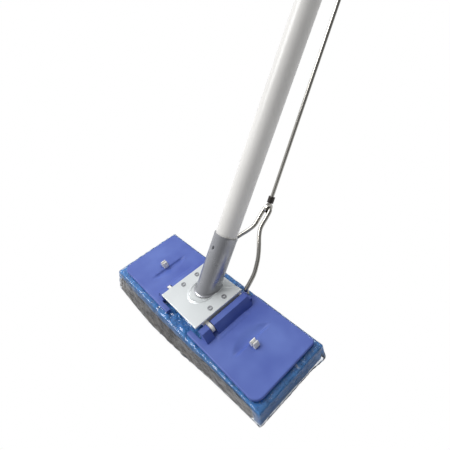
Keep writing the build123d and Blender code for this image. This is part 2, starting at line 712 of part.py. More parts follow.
with BuildPart() as lever_grip:
    with BuildSketch(side_plane(PIVOT_S, PIVOT_N, -LEVER_GRIP_SIZE[1] / 2)):
        with Locations((0, LEVER_GRIP_START + LEVER_GRIP_LENGTH / 2)):
            RectangleRounded(LEVER_GRIP_SIZE[0], LEVER_GRIP_LENGTH, 5.0)
    extrude(amount=LEVER_GRIP_SIZE[1])
    fillet(lever_grip.edges().filter_by(Axis.X, reverse=True), 2.0)
    with BuildSketch(side_plane(PIVOT_S, PIVOT_N)):
        with Locations((0, (LEVER_START + LEVER_LENGTH) / 2)):
            Rectangle(LEVER_DEPTH, LEVER_LENGTH - LEVER_START)
    extrude(amount=CHEEK_X[1], both=True, mode=Mode.SUBTRACT)
save(lever_grip, "lever_grip")

# ---------------------------------------------------------------- pull rod
rod_low = Vector(0, KNOT[0], KNOT[1])
rod_high = Vector(*on_pole(EYE_S, EYE_N))
rod_dir = (rod_high - rod_low).normalized()
rod_start = rod_low + rod_dir * (EYE_RADIUS + 0.3)
rod_stop = rod_high - rod_dir * (PIN_R + 0.6)

with BuildPart() as pull_rod:
    with BuildSketch(Plane(origin=rod_start, z_dir=rod_dir)):
        Circle(ROD_R)
    extrude(amount=(rod_stop - rod_start).length)
    with BuildSketch(Plane(origin=rod_low, x_dir=(0, 1, 0), z_dir=(1, 0, 0))):
        Circle(EYE_RADIUS + EYE_WIRE_R)
    extrude(amount=EYE_WIRE_R, both=True)
    with BuildSketch(Plane(origin=rod_low, x_dir=(0, 1, 0), z_dir=(1, 0, 0))):
        Circle(EYE_RADIUS - EYE_WIRE_R)
    extrude(amount=10, both=True, mode=Mode.SUBTRACT)
    with BuildSketch(side_plane(EYE_S, EYE_N, -EYE_WIRE_R)):
        Circle(EYE_OUTER_R)
    extrude(amount=2 * EYE_WIRE_R)
    with BuildSketch(side_plane(EYE_S, EYE_N, -10)):
        Circle(PIN_R)
    extrude(amount=20, mode=Mode.SUBTRACT)
save(pull_rod, "pull_rod")

with BuildPart() as rod_crimp:
    with BuildSketch(Plane(origin=rod_low + rod_dir * (EYE_RADIUS + 2.2), z_dir=rod_dir)):
        Circle(ROD_R + 1.6)
        Circle(ROD_R, mode=Mode.SUBTRACT)
    extrude(amount=7.0)
save(rod_crimp, "rod_crimp")

with BuildPart() as rod_pin:
    with BuildSketch(side_plane(EYE_S, EYE_N)):
        Circle(PIN_R)
    extrude(amount=CHEEK_X[1] + 0.2, both=True)
save(rod_pin, "rod_pin")

# ---------------------------------------------------------------- yoke
# each leg: share of the way down from the eye, share of the half width
YOKE_SHAPE = (
    (0.12, 0.143),
    (0.26, 0.15),
    (0.36, 0.27),
    (0.46, 0.461),
    (0.56, 0.638),
    (0.65, 0.761),
    (0.79, 0.894),
    (0.92, 0.928),
    (1.0, 0.932),
)
leg_mid = Vector(0, EAR_Y[1] + 4.2, YOKE_Z + 5.0)
leg_run = leg_mid - rod_low
top_dir = leg_run.normalized()
right_points = [rod_low + Vector(1.2, 0, 0), rod_low + Vector(2.6, 0, 0) + top_dir * 0.5]
right_points.append(rod_low + Vector(3.9, 0, 0) + top_dir * 2.6)
right_points += [rod_low + leg_run * t + Vector(w * (YOKE_X - 0.2), 0, 0) for t, w in YOKE_SHAPE]
# the tips bend forward through the ears
right_points.append(Vector(YOKE_X - 1.2, EAR_Y[1] + 3.5, YOKE_Z + 1.9))
right_points.append(Vector(YOKE_X, EAR_Y[1] + 2.3, YOKE_Z + 0.55))
right_points.append(Vector(YOKE_X, EAR_Y[1] + 0.6, YOKE_Z))
right_points.append(Vector(YOKE_X, EAR_Y[0] - 0.2, YOKE_Z))

left_points = [Vector(-p.X, p.Y, p.Z) for p in reversed(right_points)]

with BuildPart() as yoke_wire:
    with BuildLine() as wire:
        Polyline(*left_points, *right_points)
    with BuildSketch(Plane(origin=left_points[0], z_dir=(0, 1, 0))):
        Circle(YOKE_R)
    sweep(path=wire.wires()[0], transition=Transition.RIGHT)
save(yoke_wire, "yoke_wire")
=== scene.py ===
import json
import math

import bmesh
import bpy
import numpy as np
from mathutils import Matrix, Vector, noise


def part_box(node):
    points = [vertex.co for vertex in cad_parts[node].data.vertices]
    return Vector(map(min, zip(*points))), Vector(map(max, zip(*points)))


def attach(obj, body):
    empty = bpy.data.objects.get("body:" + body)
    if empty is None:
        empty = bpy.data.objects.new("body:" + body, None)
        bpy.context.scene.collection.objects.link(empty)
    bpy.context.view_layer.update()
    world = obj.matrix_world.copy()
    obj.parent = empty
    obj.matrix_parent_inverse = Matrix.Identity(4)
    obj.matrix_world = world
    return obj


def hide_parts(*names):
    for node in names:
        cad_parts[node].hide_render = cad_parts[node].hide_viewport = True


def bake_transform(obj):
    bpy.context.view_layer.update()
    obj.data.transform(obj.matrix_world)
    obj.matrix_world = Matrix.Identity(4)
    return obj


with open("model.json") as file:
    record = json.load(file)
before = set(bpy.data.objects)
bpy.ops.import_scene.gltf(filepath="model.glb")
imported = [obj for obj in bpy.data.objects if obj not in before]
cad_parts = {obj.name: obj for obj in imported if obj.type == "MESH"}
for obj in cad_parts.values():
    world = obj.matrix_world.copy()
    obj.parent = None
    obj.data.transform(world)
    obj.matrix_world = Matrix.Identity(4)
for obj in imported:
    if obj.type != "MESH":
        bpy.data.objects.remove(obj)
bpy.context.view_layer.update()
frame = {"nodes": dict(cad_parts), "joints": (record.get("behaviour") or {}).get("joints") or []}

BOX = {name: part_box(name) for name in frame["nodes"]}

bl_info = {
    "name": "Butterfly Sponge Mop",
    "version": (1, 0, 0),
    "blender": (4, 5, 0),
    "location": "3D View > Sidebar > Mop",
    "description": "Builds the looks of a butterfly sponge mop round its CAD frame",
    "category": "Object",
}

MM = 0.001
NODES = frame["nodes"]
JOINTS = {j["name"]: j for j in frame["joints"]}
HINGE = Vector(JOINTS["right_fold"]["pos_m"])
KNOT = Vector(JOINTS["yoke_swing"]["pos_m"])

# places along Y and sizes of the hinge side of a wing
EAR_FRONT = 29.1 * MM
EAR_REAR = 32.4 * MM
BOSS_FRONT = -17.3 * MM
BOSS_REAR = 28.7 * MM
KNUCKLE_FRONT = -32.2 * MM
KNUCKLE_REAR = -22.5 * MM
REAR_CLAW_FRONT = 24.75 * MM
HOOD_NEAR = HINGE.x - 4.4 * MM
HOOD_CROWN = HINGE.z + 5.0 * MM
HOOD_FOOT_LIFT = 0.4 * MM
BOSS_FOOT_X = HINGE.x - 2.4 * MM
SHEET_INNER_X = HINGE.x - 1.5 * MM
TAB_INNER_X = 18.5 * MM
TAB_DEPTH = 5.4 * MM
WING_THICKNESS = 3.0 * MM

# scoop and crease beside each snap stud
SCOOP_CHORD_X = 70.5 * MM
SCOOP_HALF = 25.5 * MM
SCOOP_SAGITTA = 13 * MM
SCOOP_FADE = 10 * MM
SCOOP_LIP = 2.4 * MM
CREASE_X = 48.4 * MM
CREASE_MIDDLE_Y = -1.5 * MM
CREASE_HALF = 22 * MM
CREASE_FADE = 6 * MM
CREASE_STEP = 0.55 * MM
CREASE_WIDTH = 0.9 * MM
STUD_HOLE = 3.9 * MM
STUD_HOLE_DEPTH = 1.0 * MM
STUD_X = 76.4 * MM
STUD_Y = -1.6 * MM

# ear: a ring round the slot of the yoke's tip, on a post
EAR_OUTER = 4.4 * MM
EAR_SLOT = 3.2 * MM
EAR_TRAVEL = 4.1 * MM
EAR_ARM = 7.55 * MM
EAR_POINTS = 40


# ------------------------------------------------------------------ sizes and colours
class MopSizes(bpy.types.PropertyGroup):
    edge_round: bpy.props.FloatProperty(
        name="Wing edge round", description="Rounding along the wings' moulded edge",
        default=1.1 * MM, min=0.1 * MM, max=1.4 * MM, unit="LENGTH")
    dent_depth: bpy.props.FloatProperty(
        name="Dent depth", description="Depth of the scoop beside each snap stud",
        default=1.9 * MM, min=0.0, max=2.2 * MM, unit="LENGTH")
    collar_height: bpy.props.FloatProperty(
        name="Collar height", description="Height of the pressed ring round the socket",
        default=0.8 * MM, min=0.0, max=1.0 * MM, unit="LENGTH")
    recess_depth: bpy.props.FloatProperty(
        name="Recess depth", description="Depth of the pressed recess behind the socket",
        default=1.2 * MM, min=0.0, max=1.6 * MM, unit="LENGTH")
    wire_radius: bpy.props.FloatProperty(
        name="Yoke wire radius", description="Half the thickness of the wishbone wire",
        default=2.35 * MM, min=1.5 * MM, max=2.6 * MM, unit="LENGTH")
    film_slack: bpy.props.FloatProperty(
        name="Film slack", description="How far the wrapping film's creases stand up",
        default=1.1 * MM, min=0.0, max=3.0 * MM, unit="LENGTH")


def colour_prop(label, words, srgb):
    return bpy.props.StringProperty(name=label, description=words + ", as an sRGB hex", default=srgb)


class MopColours(bpy.types.PropertyGroup):
    wing: colour_prop("Wings", "Blue-violet moulded plastic", "#4A5FB0")
    # paler colour of the wings: painted sheen
    wing_sheen: colour_prop("Wings, painted sheen", "Paler painted sheen on the moulded plastic", "#6178C4")
    zinc: colour_prop("Zinc plate", "Bright zinc plating", "#DFE3E3")
    socket: colour_prop("Socket", "Grey plated sleeve", "#A9AAAE")
    wire: colour_prop("Wire", "Polished steel wire", "#B9B6AF")
    coat: colour_prop("Pole coat", "White coated tube", "#ECEAE6")
    sponge: colour_prop("Sponge", "Blue foam", "#559ADB")
    sponge_deep: colour_prop("Sponge pores", "Shaded pores of the foam", "#2C66A6")
    strip_pale: colour_prop("Strip, pale", "Pale fibres of the scrubbing strip", "#A39A91")
    strip_dark: colour_prop("Strip, dark", "Dark fibres of the scrubbing strip", "#352D2E")
    snap: colour_prop("Snaps", "White moulded plastic", "#F2F1EC")
    grip: colour_prop("Grips", "Grey grip plastic", "#5A5F66")


def sizes():
    """Sizes that the panel shows."""
    return bpy.context.scene.mop_sizes


def colours():
    """Colours that the panel shows."""
    return bpy.context.scene.mop_colours


# ------------------------------------------------------------------ materials
def linear(srgb):
    """sRGB hex to the linear colour that a shader takes."""
    values = [int(srgb.lstrip("#")[i:i + 2], 16) / 255 for i in (0, 2, 4)]
    return [v / 12.92 if v <= 0.04045 else ((v + 0.055) / 1.055) ** 2.4 for v in values] + [1.0]


def node(tree, kind, settings=None, **links):
    """Adds one node. Settings name its attributes or its sockets, links feed its sockets."""
    made = tree.nodes.new(kind)
    for key, value in (settings or {}).items():
        if isinstance(key, int) or key in made.inputs:
            made.inputs[key].default_value = value
        else:
            setattr(made, key, value)
    for key, source in links.items():
        numbered = key[0] == "i" and key[1:].isdigit()
        socket = made.inputs[int(key[1:]) if numbered else key.replace("_", " ")]
        tree.links.new(source, socket)
    return made


def finish_named(name, class_name="ShaderNodeBsdfPrincipled", **fixed):
    """A new material with its shader's fixed values set on the shader's own sockets."""
    material = bpy.data.materials.new(name)
    material.use_nodes = True
    tree = material.node_tree
    tree.nodes.clear()
    out = node(tree, "ShaderNodeOutputMaterial")
    shader = node(tree, class_name, {k.replace("_", " "): v for k, v in fixed.items()})
    tree.links.new(shader.outputs[0], out.inputs["Surface"])
    place = node(tree, "ShaderNodeTexCoord").outputs["Object"]
    return material, tree, shader, place


def per_mm(millimetres):
    """Noise scale whose features are that many millimetres apart in object space."""
    return 1.0 / (millimetres * MM)


def ramp(tree, source, stops):
    made = node(tree, "ShaderNodeValToRGB", None, Fac=source)
    bar = made.color_ramp
    while len(bar.elements) < len(stops):
        bar.elements.new(0.5)
    for element, (place, colour) in zip(bar.elements, stops):
        element.position = place
        element.color = colour
    return made.outputs["Color"]


def grey(value):
    """Colour of equal parts."""
    return (value, value, value, 1.0)


def moulded_polypropylene():
    # Satin injection moulding: fine spark texture, and paler patches of painted sheen that stand for its
    # glossy reflection.
    c = colours()
    m, t, s, place = finish_named("Moulded polypropylene, blue", Roughness=0.42, IOR=1.49)
    sheen_patches = node(t, "ShaderNodeTexNoise", {"Scale": per_mm(38), "Detail": 2.0}, Vector=place)
    # paler patches in the base colour are painted sheen; the same patches also set the roughness
    t.links.new(ramp(t, sheen_patches.outputs["Fac"], [(0.35, linear(c.wing)), (0.75, linear(c.wing_sheen))]),
                s.inputs["Base Color"])
    grain = node(t, "ShaderNodeTexNoise", {"Scale": per_mm(0.9), "Detail": 3.0}, Vector=place)
    bump = node(t, "ShaderNodeBump", {"Strength": 0.10, "Distance": 0.0003}, Height=grain.outputs["Fac"])
    t.links.new(bump.outputs["Normal"], s.inputs["Normal"])
    rough = ramp(t, sheen_patches.outputs["Fac"], [(0.3, grey(0.38)), (0.8, grey(0.5))])
    t.links.new(rough, s.inputs["Roughness"])
    return m


def moulded_nylon():
    # White nylon: slightly glossy, with faint warm patches of painted shade.
    m, t, s, place = finish_named("Moulded nylon, white", Roughness=0.33, IOR=1.53)
    patch = node(t, "ShaderNodeTexNoise", {"Scale": per_mm(14), "Detail": 2.0}, Vector=place)
    white = linear(colours().snap)
    # warm patches: painted shade on the white nylon
    warm_shade = [white[0] * 0.93, white[1] * 0.92, white[2] * 0.89, 1.0]
    t.links.new(ramp(t, patch.outputs["Fac"], [(0.4, white), (0.8, warm_shade)]), s.inputs["Base Color"])
    grain = node(t, "ShaderNodeTexNoise", {"Scale": per_mm(1.2)}, Vector=place)
    bump = node(t, "ShaderNodeBump", {"Strength": 0.08, "Distance": 0.0002}, Height=grain.outputs["Fac"])
    t.links.new(bump.outputs["Normal"], s.inputs["Normal"])
    return m


def plated_steel(name, srgb, roughness, spread, metal=1.0):
    # Plated sheet, tube or wire: cloudy plating and fine draw marks about 0.7 mm apart.
    m, t, s, place = finish_named(name, Metallic=metal, Roughness=roughness)
    base = linear(srgb)
    cloud = node(t, "ShaderNodeTexNoise", {"Scale": per_mm(16), "Detail": 4.0, "Roughness": 0.6},
                 Vector=place)
    dark = [v * (1.0 - spread) for v in base[:3]] + [1.0]
    t.links.new(ramp(t, cloud.outputs["Fac"], [(0.3, dark), (0.65, base)]), s.inputs["Base Color"])
    marks = node(t, "ShaderNodeTexNoise", {"Scale": per_mm(0.7), "Detail": 2.0}, Vector=place)
    t.links.new(ramp(t, cloud.outputs["Fac"], [(0.3, grey(roughness * 1.25)), (0.7, grey(roughness * 0.85))]),
                s.inputs["Roughness"])
    bump = node(t, "ShaderNodeBump", {"Strength": 0.05, "Distance": 0.0002}, Height=marks.outputs["Fac"])
    t.links.new(bump.outputs["Normal"], s.inputs["Normal"])
    return m


def polyester_coat():
    # Sprayed white coat on a steel tube: smooth, a little orange peel.
    m, t, s, place = finish_named("Polyester coat, white", Roughness=0.38, IOR=1.5, Coat_Weight=0.15,
                                  Coat_Roughness=0.2)
    tone = node(t, "ShaderNodeTexNoise", {"Scale": per_mm(60), "Detail": 1.0}, Vector=place)
    white = linear(colours().coat)
    shade = [v * 0.95 for v in white[:3]] + [1.0]
    t.links.new(ramp(t, tone.outputs["Fac"], [(0.35, shade), (0.65, white)]), s.inputs["Base Color"])
    peel = node(t, "ShaderNodeTexNoise", {"Scale": per_mm(2.5)}, Vector=place)
    bump = node(t, "ShaderNodeBump", {"Strength": 0.05, "Distance": 0.0003}, Height=peel.outputs["Fac"])
    t.links.new(bump.outputs["Normal"], s.inputs["Normal"])
    return m


def soft_vinyl():
    # Grey moulded vinyl of the grips: matt with a leather-like grain.
    m, t, s, place = finish_named("Moulded vinyl, grey", Roughness=0.6, IOR=1.52)
    base = linear(colours().grip)
    tone = node(t, "ShaderNodeTexNoise", {"Scale": per_mm(9), "Detail": 3.0}, Vector=place)
    dark = [v * 0.8 for v in base[:3]] + [1.0]
    t.links.new(ramp(t, tone.outputs["Fac"], [(0.35, dark), (0.65, base)]), s.inputs["Base Color"])
    pebble = node(t, "ShaderNodeTexVoronoi", {"Scale": per_mm(1.6)}, Vector=place)
    bump = node(t, "ShaderNodeBump", {"Strength": 0.2, "Distance": 0.0003}, Height=pebble.outputs["Distance"])
    t.links.new(bump.outputs["Normal"], s.inputs["Normal"])
    return m


def cellulose_foam():
    # Open-cell foam: pores of about 1 mm, drawn at 1.6 mm so that they show.
    c = colours()
    m, t, s, place = finish_named("Open-cell foam, blue", Roughness=0.9, IOR=1.4, Sheen_Weight=0.2)
    pore = node(t, "ShaderNodeTexVoronoi", {"Scale": per_mm(1.6)}, Vector=place)
    cloud = node(t, "ShaderNodeTexNoise", {"Scale": per_mm(12), "Detail": 3.0}, Vector=place)
    mixed = node(t, "ShaderNodeMath", {"operation": "MULTIPLY"}, i0=pore.outputs["Distance"],
                 i1=cloud.outputs["Fac"])
    stops = [(0.06, linear(c.sponge_deep)), (0.2, linear(c.sponge))]
    t.links.new(ramp(t, mixed.outputs[0], stops), s.inputs["Base Color"])
    bump = node(t, "ShaderNodeBump", {"Strength": 0.6, "Distance": 0.0006}, Height=pore.outputs["Distance"])
    t.links.new(bump.outputs["Normal"], s.inputs["Normal"])
    return m


def abrasive_fleece():
    # Scouring fleece of mixed fibres: pale, brown and near-black flecks 1 to 4 mm long.
    c = colours()
    m, t, s, place = finish_named("Abrasive fleece, mottled", Roughness=0.95, Sheen_Weight=0.15)
    stretch = node(t, "ShaderNodeMapping", {"Scale": (0.6, 1.0, 1.0)}, Vector=place)
    fleck = node(t, "ShaderNodeTexNoise", {"Scale": per_mm(8.5), "Detail": 7.0, "Roughness": 0.78},
                 Vector=stretch.outputs[0])
    middle = [(a + b) / 2 for a, b in zip(linear(c.strip_pale), linear(c.strip_dark))]
    stops = [(0.4, linear(c.strip_dark)), (0.5, middle), (0.6, linear(c.strip_pale))]
    t.links.new(ramp(t, fleck.outputs["Fac"], stops), s.inputs["Base Color"])
    bump = node(t, "ShaderNodeBump", {"Strength": 0.7, "Distance": 0.0008}, Height=fleck.outputs["Fac"])
    t.links.new(bump.outputs["Normal"], s.inputs["Normal"])
    return m


def wrapping_film():
    # Clear polypropylene film: see-through, glossy, with white streaks along creases and in patches that are
    # painted highlights standing for its glints.
    material = bpy.data.materials.new("Clear polypropylene film")
    material.use_nodes = True
    t = material.node_tree
    t.nodes.clear()
    out = node(t, "ShaderNodeOutputMaterial")
    place = node(t, "ShaderNodeTexCoord").outputs["Object"]
    warp = node(t, "ShaderNodeTexNoise", {"Scale": per_mm(22), "Detail": 2.0}, Vector=place)
    bent = node(t, "ShaderNodeVectorMath", {"operation": "MULTIPLY_ADD", 1: (0.02, 0.02, 0.02)},
                i0=warp.outputs["Color"], i2=place)
    crease = node(t, "ShaderNodeTexVoronoi", {"feature": "DISTANCE_TO_EDGE", "Scale": per_mm(15)},
                  Vector=bent.outputs[0])
    wrinkle = node(t, "ShaderNodeTexNoise", {"Scale": per_mm(7), "Detail": 3.0, "Roughness": 0.55},
                   Vector=bent.outputs[0])
    # painted highlights: white streaks along the creases, only where the patch mask is high
    crease_glint = ramp(t, crease.outputs["Distance"], [(0.0, grey(0.5)), (0.03, grey(0.0))])
    patch = ramp(t, warp.outputs["Fac"], [(0.5, grey(0.05)), (0.68, grey(1.0))])
    painted_glint = node(t, "ShaderNodeMath", {"operation": "MULTIPLY"}, i0=crease_glint, i1=patch)
    height = node(t, "ShaderNodeMath", {"operation": "ADD"}, i0=crease.outputs["Distance"],
                  i1=wrinkle.outputs["Fac"])
    bump = node(t, "ShaderNodeBump", {"Strength": 0.7, "Distance": 0.0016}, Height=height.outputs[0])
    clear = node(t, "ShaderNodeBsdfTransparent", {"Color": (0.97, 0.985, 1.0, 1.0)})
    # white shader of the painted highlights
    white = node(t, "ShaderNodeBsdfPrincipled", {"Base Color": (0.9, 0.94, 1.0, 1.0), "Roughness": 0.3},
                 Normal=bump.outputs["Normal"])
    body = node(t, "ShaderNodeMixShader", None, i0=painted_glint.outputs[0], i1=clear.outputs[0], i2=white.outputs[0])
    shine = node(t, "ShaderNodeBsdfGlossy", {"Color": (1, 1, 1, 1), "Roughness": 0.07},
                 Normal=bump.outputs["Normal"])
    edge = node(t, "ShaderNodeFresnel", {"IOR": 1.5}, Normal=bump.outputs["Normal"])
    mixed = node(t, "ShaderNodeMixShader", None, i0=edge.outputs[0], i1=body.outputs[0], i2=shine.outputs[0])
    t.links.new(mixed.outputs[0], out.inputs["Surface"])
    return material


MADE = {}


def finish(key):
    """Each finish is made once and shared by the pieces that have it."""
    c = colours()
    makers = {
        "wing": moulded_polypropylene,
        "snap": moulded_nylon,
        "zinc": lambda: plated_steel("Zinc-plated steel sheet, pressed", c.zinc, 0.36, 0.05, 0.55),
        "socket": lambda: plated_steel("Zinc-plated steel tube, drawn", c.socket, 0.30, 0.14, 0.9),
        "wire": lambda: plated_steel("Bright steel wire, drawn", c.wire, 0.14, 0.12),
        "crimp": lambda: plated_steel("Blackened steel, crimped", "#4E4A47", 0.40, 0.3),
        "coat": polyester_coat,
        "grip": soft_vinyl,
        "sponge": cellulose_foam,
        "strip": abrasive_fleece,
        "film": wrapping_film,
    }
    if key not in MADE:
        MADE[key] = makers[key]()
    return MADE[key]


# ------------------------------------------------------------------ mesh making
def new_object(name, bm, key, smooth_deg=40):
    """Turns a bmesh into a shaded object with its finish."""
    bmesh.ops.recalc_face_normals(bm, faces=bm.faces)
    mesh = bpy.data.meshes.new(name)
    bm.to_mesh(mesh)
    bm.free()
    made = bpy.data.objects.new(name, mesh)
    bpy.context.scene.collection.objects.link(made)
    mesh.materials.append(finish(key))
    for polygon in mesh.polygons:
        polygon.use_smooth = True
    mesh.set_sharp_from_angle(angle=math.radians(smooth_deg))
    return made


def grid_faces(bm, rows, closed=False):
    """Joins rows of equal length into quads. Closed rows join their ends."""
    for a, b in zip(rows, rows[1:]):
        count = len(a)
        for i in range(count if closed else count - 1):
            k = (i + 1) % count
            bm.faces.new((a[i], a[k], b[k], b[i]))


def tube(bm, path, radius, around=20):
    """Round wire along a list of points, with flat ends."""
    points = [Vector(p) for p in path]
    side = Vector((0, 0, 1))
    rings = []
    for i, p in enumerate(points):
        ahead = (points[min(i + 1, len(points) - 1)] - points[max(i - 1, 0)]).normalized()
        side = (side - ahead * side.dot(ahead)).normalized()
        up = ahead.cross(side)
        turn = [2 * math.pi * k / around for k in range(around)]
        rings.append([bm.verts.new(p + radius * (math.cos(a) * side + math.sin(a) * up)) for a in turn])
    grid_faces(bm, rings, closed=True)
    bm.faces.new(rings[0])
    bm.faces.new(rings[-1])


def smooth_path(points, steps=8):
    """Catmull-Rom curve through the points."""
    p = [Vector(q) for q in points]
    p = [2 * p[0] - p[1]] + p + [2 * p[-1] - p[-2]]
    out = []
    for a, b, c, d in zip(p, p[1:], p[2:], p[3:]):
        for k in range(steps):
            t = k / steps
            out.append(0.5 * (2 * b + (c - a) * t + (2 * a - 5 * b + 4 * c - d) * t * t
                              + (3 * b - a - 3 * c + d) * t ** 3))
    return out + [p[-2]]


def slab(bm, outline, low, high, across=None):
    """Closed prism of an outline of 2-D points; across maps (u, v, w) to a place."""
    across = across or (lambda u, v, w: Vector((u, v, w)))
    bottom = [bm.verts.new(across(u, v, low)) for u, v in outline]
    top = [bm.verts.new(across(u, v, high)) for u, v in outline]
    grid_faces(bm, [bottom, top], closed=True)
    bm.faces.new(bottom)
    bm.faces.new(top)
    return bottom, top


def round_edges(bm, width, segments=3, angle=35, only=None):
    """Bevels the edges that are sharper than the angle."""
    edges = [e for e in bm.edges if e.is_manifold and e.calc_face_angle(0) > math.radians(angle)
             and (only is None or only(e))]
    bmesh.ops.bevel(bm, geom=edges, offset=width, segments=segments, profile=0.5, affect="EDGES",
                    clamp_overlap=True)


def close_below(bm, floor):
    """Gives an open sheet its sides and a flat underside."""
    made = bmesh.ops.extrude_edge_only(bm, edges=[e for e in bm.edges if e.is_boundary])
    for v in [g for g in made["geom"] if isinstance(g, bmesh.types.BMVert)]:
        v.co.z = floor
    bmesh.ops.edgeloop_fill(bm, edges=[e for e in bm.edges if e.is_boundary])


def merge(target, source):
    """Adds one bmesh to another."""
    mesh = bpy.data.meshes.new("scratch")
    source.to_mesh(mesh)
    source.free()
    target.from_mesh(mesh)
    bpy.data.meshes.remove(mesh)


def mirrored(bm, side):
    """Mirrors a right-hand bmesh across X for the left side."""
    if side < 0:
        bmesh.ops.scale(bm, vec=(-1, 1, 1), verts=bm.verts)
        bmesh.ops.reverse_faces(bm, faces=bm.faces)


def ease(t):
    """Smooth step from 0 to 1."""
    t = min(max(t, 0.0), 1.0)
    return t * t * (3 - 2 * t)


def spaced(length, fine, step):
    """Places along a length, close together at both ends."""
    near = [f for f in fine if f < length / 2]
    start = near[-1]
    count = max(1, round((length - 2 * start) / step))
    middle = [start + (length - 2 * start) * k / count for k in range(1, count)]
    return near + middle + [length - f for f in reversed(near)]


def side_names(side):
    """Word and CAD body of a side."""
    return ("right", "right_wing") if side > 0 else ("left", "left_wing")


# ------------------------------------------------------------------ wings
FINE = [f * MM for f in (0.0, 0.1, 0.25, 0.5, 0.8, 1.2, 1.8, 2.6)]
CORNER_FRONT = 9.5 * MM
CORNER_REAR = 4.0 * MM
WING_LOW, WING_HIGH = BOX["wing_right"]


def wing_top():
    """Level of the wings' top face."""
    return HINGE.z - 5.5 * MM


def outer_x(y):
    """Outer edge of the right wing at depth y, with its two rounded corners."""
    low, high = WING_LOW, WING_HIGH
    for corner, edge in ((CORNER_FRONT, low.y), (CORNER_REAR, high.y)):
        near = corner - abs(y - edge)
        if near > 0:
            return high.x - corner + math.sqrt(max(corner ** 2 - near ** 2, 0.0))
    return high.x


def edge_distance(x, y):
    """Distance from the wing's moulded outline, inwards."""
    low, high = WING_LOW, WING_HIGH
    d = min(y - low.y, high.y - y, high.x - x)
    for corner, edge, sign in ((CORNER_FRONT, low.y, 1), (CORNER_REAR, high.y, -1)):
        cx, cy = high.x - corner, edge + sign * corner
        if x > cx and (y - cy) * sign < 0:
            d = corner - math.hypot(x - cx, y - cy)
    return max(d, 0.0)


def wing_relief(x, y, stud):
    """Height of the wing's top face against its flat level."""
    s = sizes()
    h = 0.0
    d = edge_distance(x, y)
    r = s.edge_round
    if d < r:
        h -= r - math.sqrt(max(r * r - (r - d) ** 2, 0.0))
    if abs(y) < SCOOP_HALF:
        arc = SCOOP_CHORD_X - SCOOP_SAGITTA * (1 - (y / SCOOP_HALF) ** 2)
        along = (x - arc) / max(SCOOP_CHORD_X - arc, 0.3 * MM)
        fade = ease((SCOOP_HALF - abs(y)) / SCOOP_FADE)
        if 0 < along <= 1:
            h -= s.dent_depth * fade * ease(along)
        elif along > 1:
            h -= s.dent_depth * fade * (1 - ease((x - SCOOP_CHORD_X) / SCOOP_LIP))
    fade = ease((CREASE_HALF - abs(y - CREASE_MIDDLE_Y)) / CREASE_FADE)
    h += CREASE_STEP * fade * (1 - ease((x - CREASE_X) / CREASE_WIDTH))
    away = math.hypot(x - stud.x, y - stud.y)
    h -= STUD_HOLE_DEPTH * (1 - ease((away - STUD_HOLE) / (1.0 * MM)))
    return h


def wing_sheet(bm, y_places, inner, stud):
    """One stretch of the wing plate as a closed piece."""
    top = wing_top()
    rows = []
    for y in y_places:
        reach = outer_x(y)
        xs = [inner + f for f in spaced(reach - inner, FINE, 1.1 * MM)]
        count = len(spaced(WING_HIGH.x - inner, FINE, 1.1 * MM))
        if len(xs) != count:
            full = spaced(WING_HIGH.x - inner, FINE, 1.1 * MM)
            xs = [inner + f * (reach - inner) / (WING_HIGH.x - inner) for f in full]
        rows.append([bm.verts.new((x, y, top + wing_relief(x, y, stud))) for x in xs])
    grid_faces(bm, rows)
    close_below(bm, top - WING_THICKNESS)


def wing_mesh():
    """Wing plate: a narrow front tab that reaches inwards, and the body behind it."""
    low, high = WING_LOW, WING_HIGH
    stud = stud_place()
    depth = high.y - low.y
    places = [low.y + f for f in spaced(depth, FINE, 1.0 * MM)]
    tab_rear = low.y + TAB_DEPTH
    bm = bmesh.new()
    tab = [y for y in places if y < tab_rear - 0.05 * MM] + [tab_rear]
    wing_sheet(bm, tab, TAB_INNER_X, stud)
    body = bmesh.new()
    rest = [tab_rear] + [y for y in places if y > tab_rear + 0.05 * MM]
    wing_sheet(body, rest, SHEET_INNER_X, stud)
    merge(bm, body)
    return bm


COVER_BROW = 2.2 * MM
COVER_REACH = 7.9 * MM
COVER_WALL = 0.9 * MM


def hinge_cover(front, rear, cheeks):
    """Sloping hood over the hinge, open below and towards the plate, with walls across it."""
    bm = bmesh.new()
    base = wing_top() - HOOD_FOOT_LIFT
    near, crown, wall = HOOD_NEAR, HOOD_CROWN, COVER_WALL
    brow_x, brow_z = HINGE.x + COVER_BROW, crown - 0.5 * MM
    inner_brow_x = brow_x - 0.3 * MM
    reach = HINGE.x + COVER_REACH
    lip = crown - 1.6 * MM
    hood = [(near, lip), (near, crown), (brow_x, brow_z), (reach, wing_top() + 0.6 * MM), (reach, base),
            (reach - wall, base), (reach - wall, wing_top() + 0.3 * MM), (inner_brow_x, brow_z - wall),
            (near + wall, crown - wall), (near + wall, lip)]
    slab(bm, hood, front, rear, lambda u, v, w: Vector((u, w, v)))

    def at_brow(edge):
        return all(abs(v.co.x - brow_x) < MM and v.co.z > brow_z - wall / 2 for v in edge.verts)

    round_edges(bm, 2.4 * MM, 6, 15, at_brow)
    cheek = [(BOSS_FOOT_X, base), (BOSS_FOOT_X, HINGE.z), (near + wall / 2, HINGE.z + 2.5 * MM),
             (near + wall / 2, crown - wall / 2), (inner_brow_x, brow_z - wall / 2),
             (reach - wall / 2, wing_top() + 0.4 * MM), (reach - wall / 2, base)]
    for y in cheeks:
        across = bmesh.new()
        slab(across, cheek, y, y + wall, lambda u, v, w: Vector((u, w, v)))
        merge(bm, across)
    return bm


def boss_mesh():
    """Long hood over the hinge pin; the rear claw turns between its last two walls."""
    cheeks = (BOSS_FRONT, REAR_CLAW_FRONT - 2 * COVER_WALL, BOSS_REAR - COVER_WALL)
    return hinge_cover(BOSS_FRONT, BOSS_REAR, cheeks)


def knuckle_mesh():
    """Front knuckle, the short hood in front of the front claw."""
    return hinge_cover(KNUCKLE_FRONT, KNUCKLE_REAR, (KNUCKLE_FRONT, KNUCKLE_REAR - COVER_WALL))


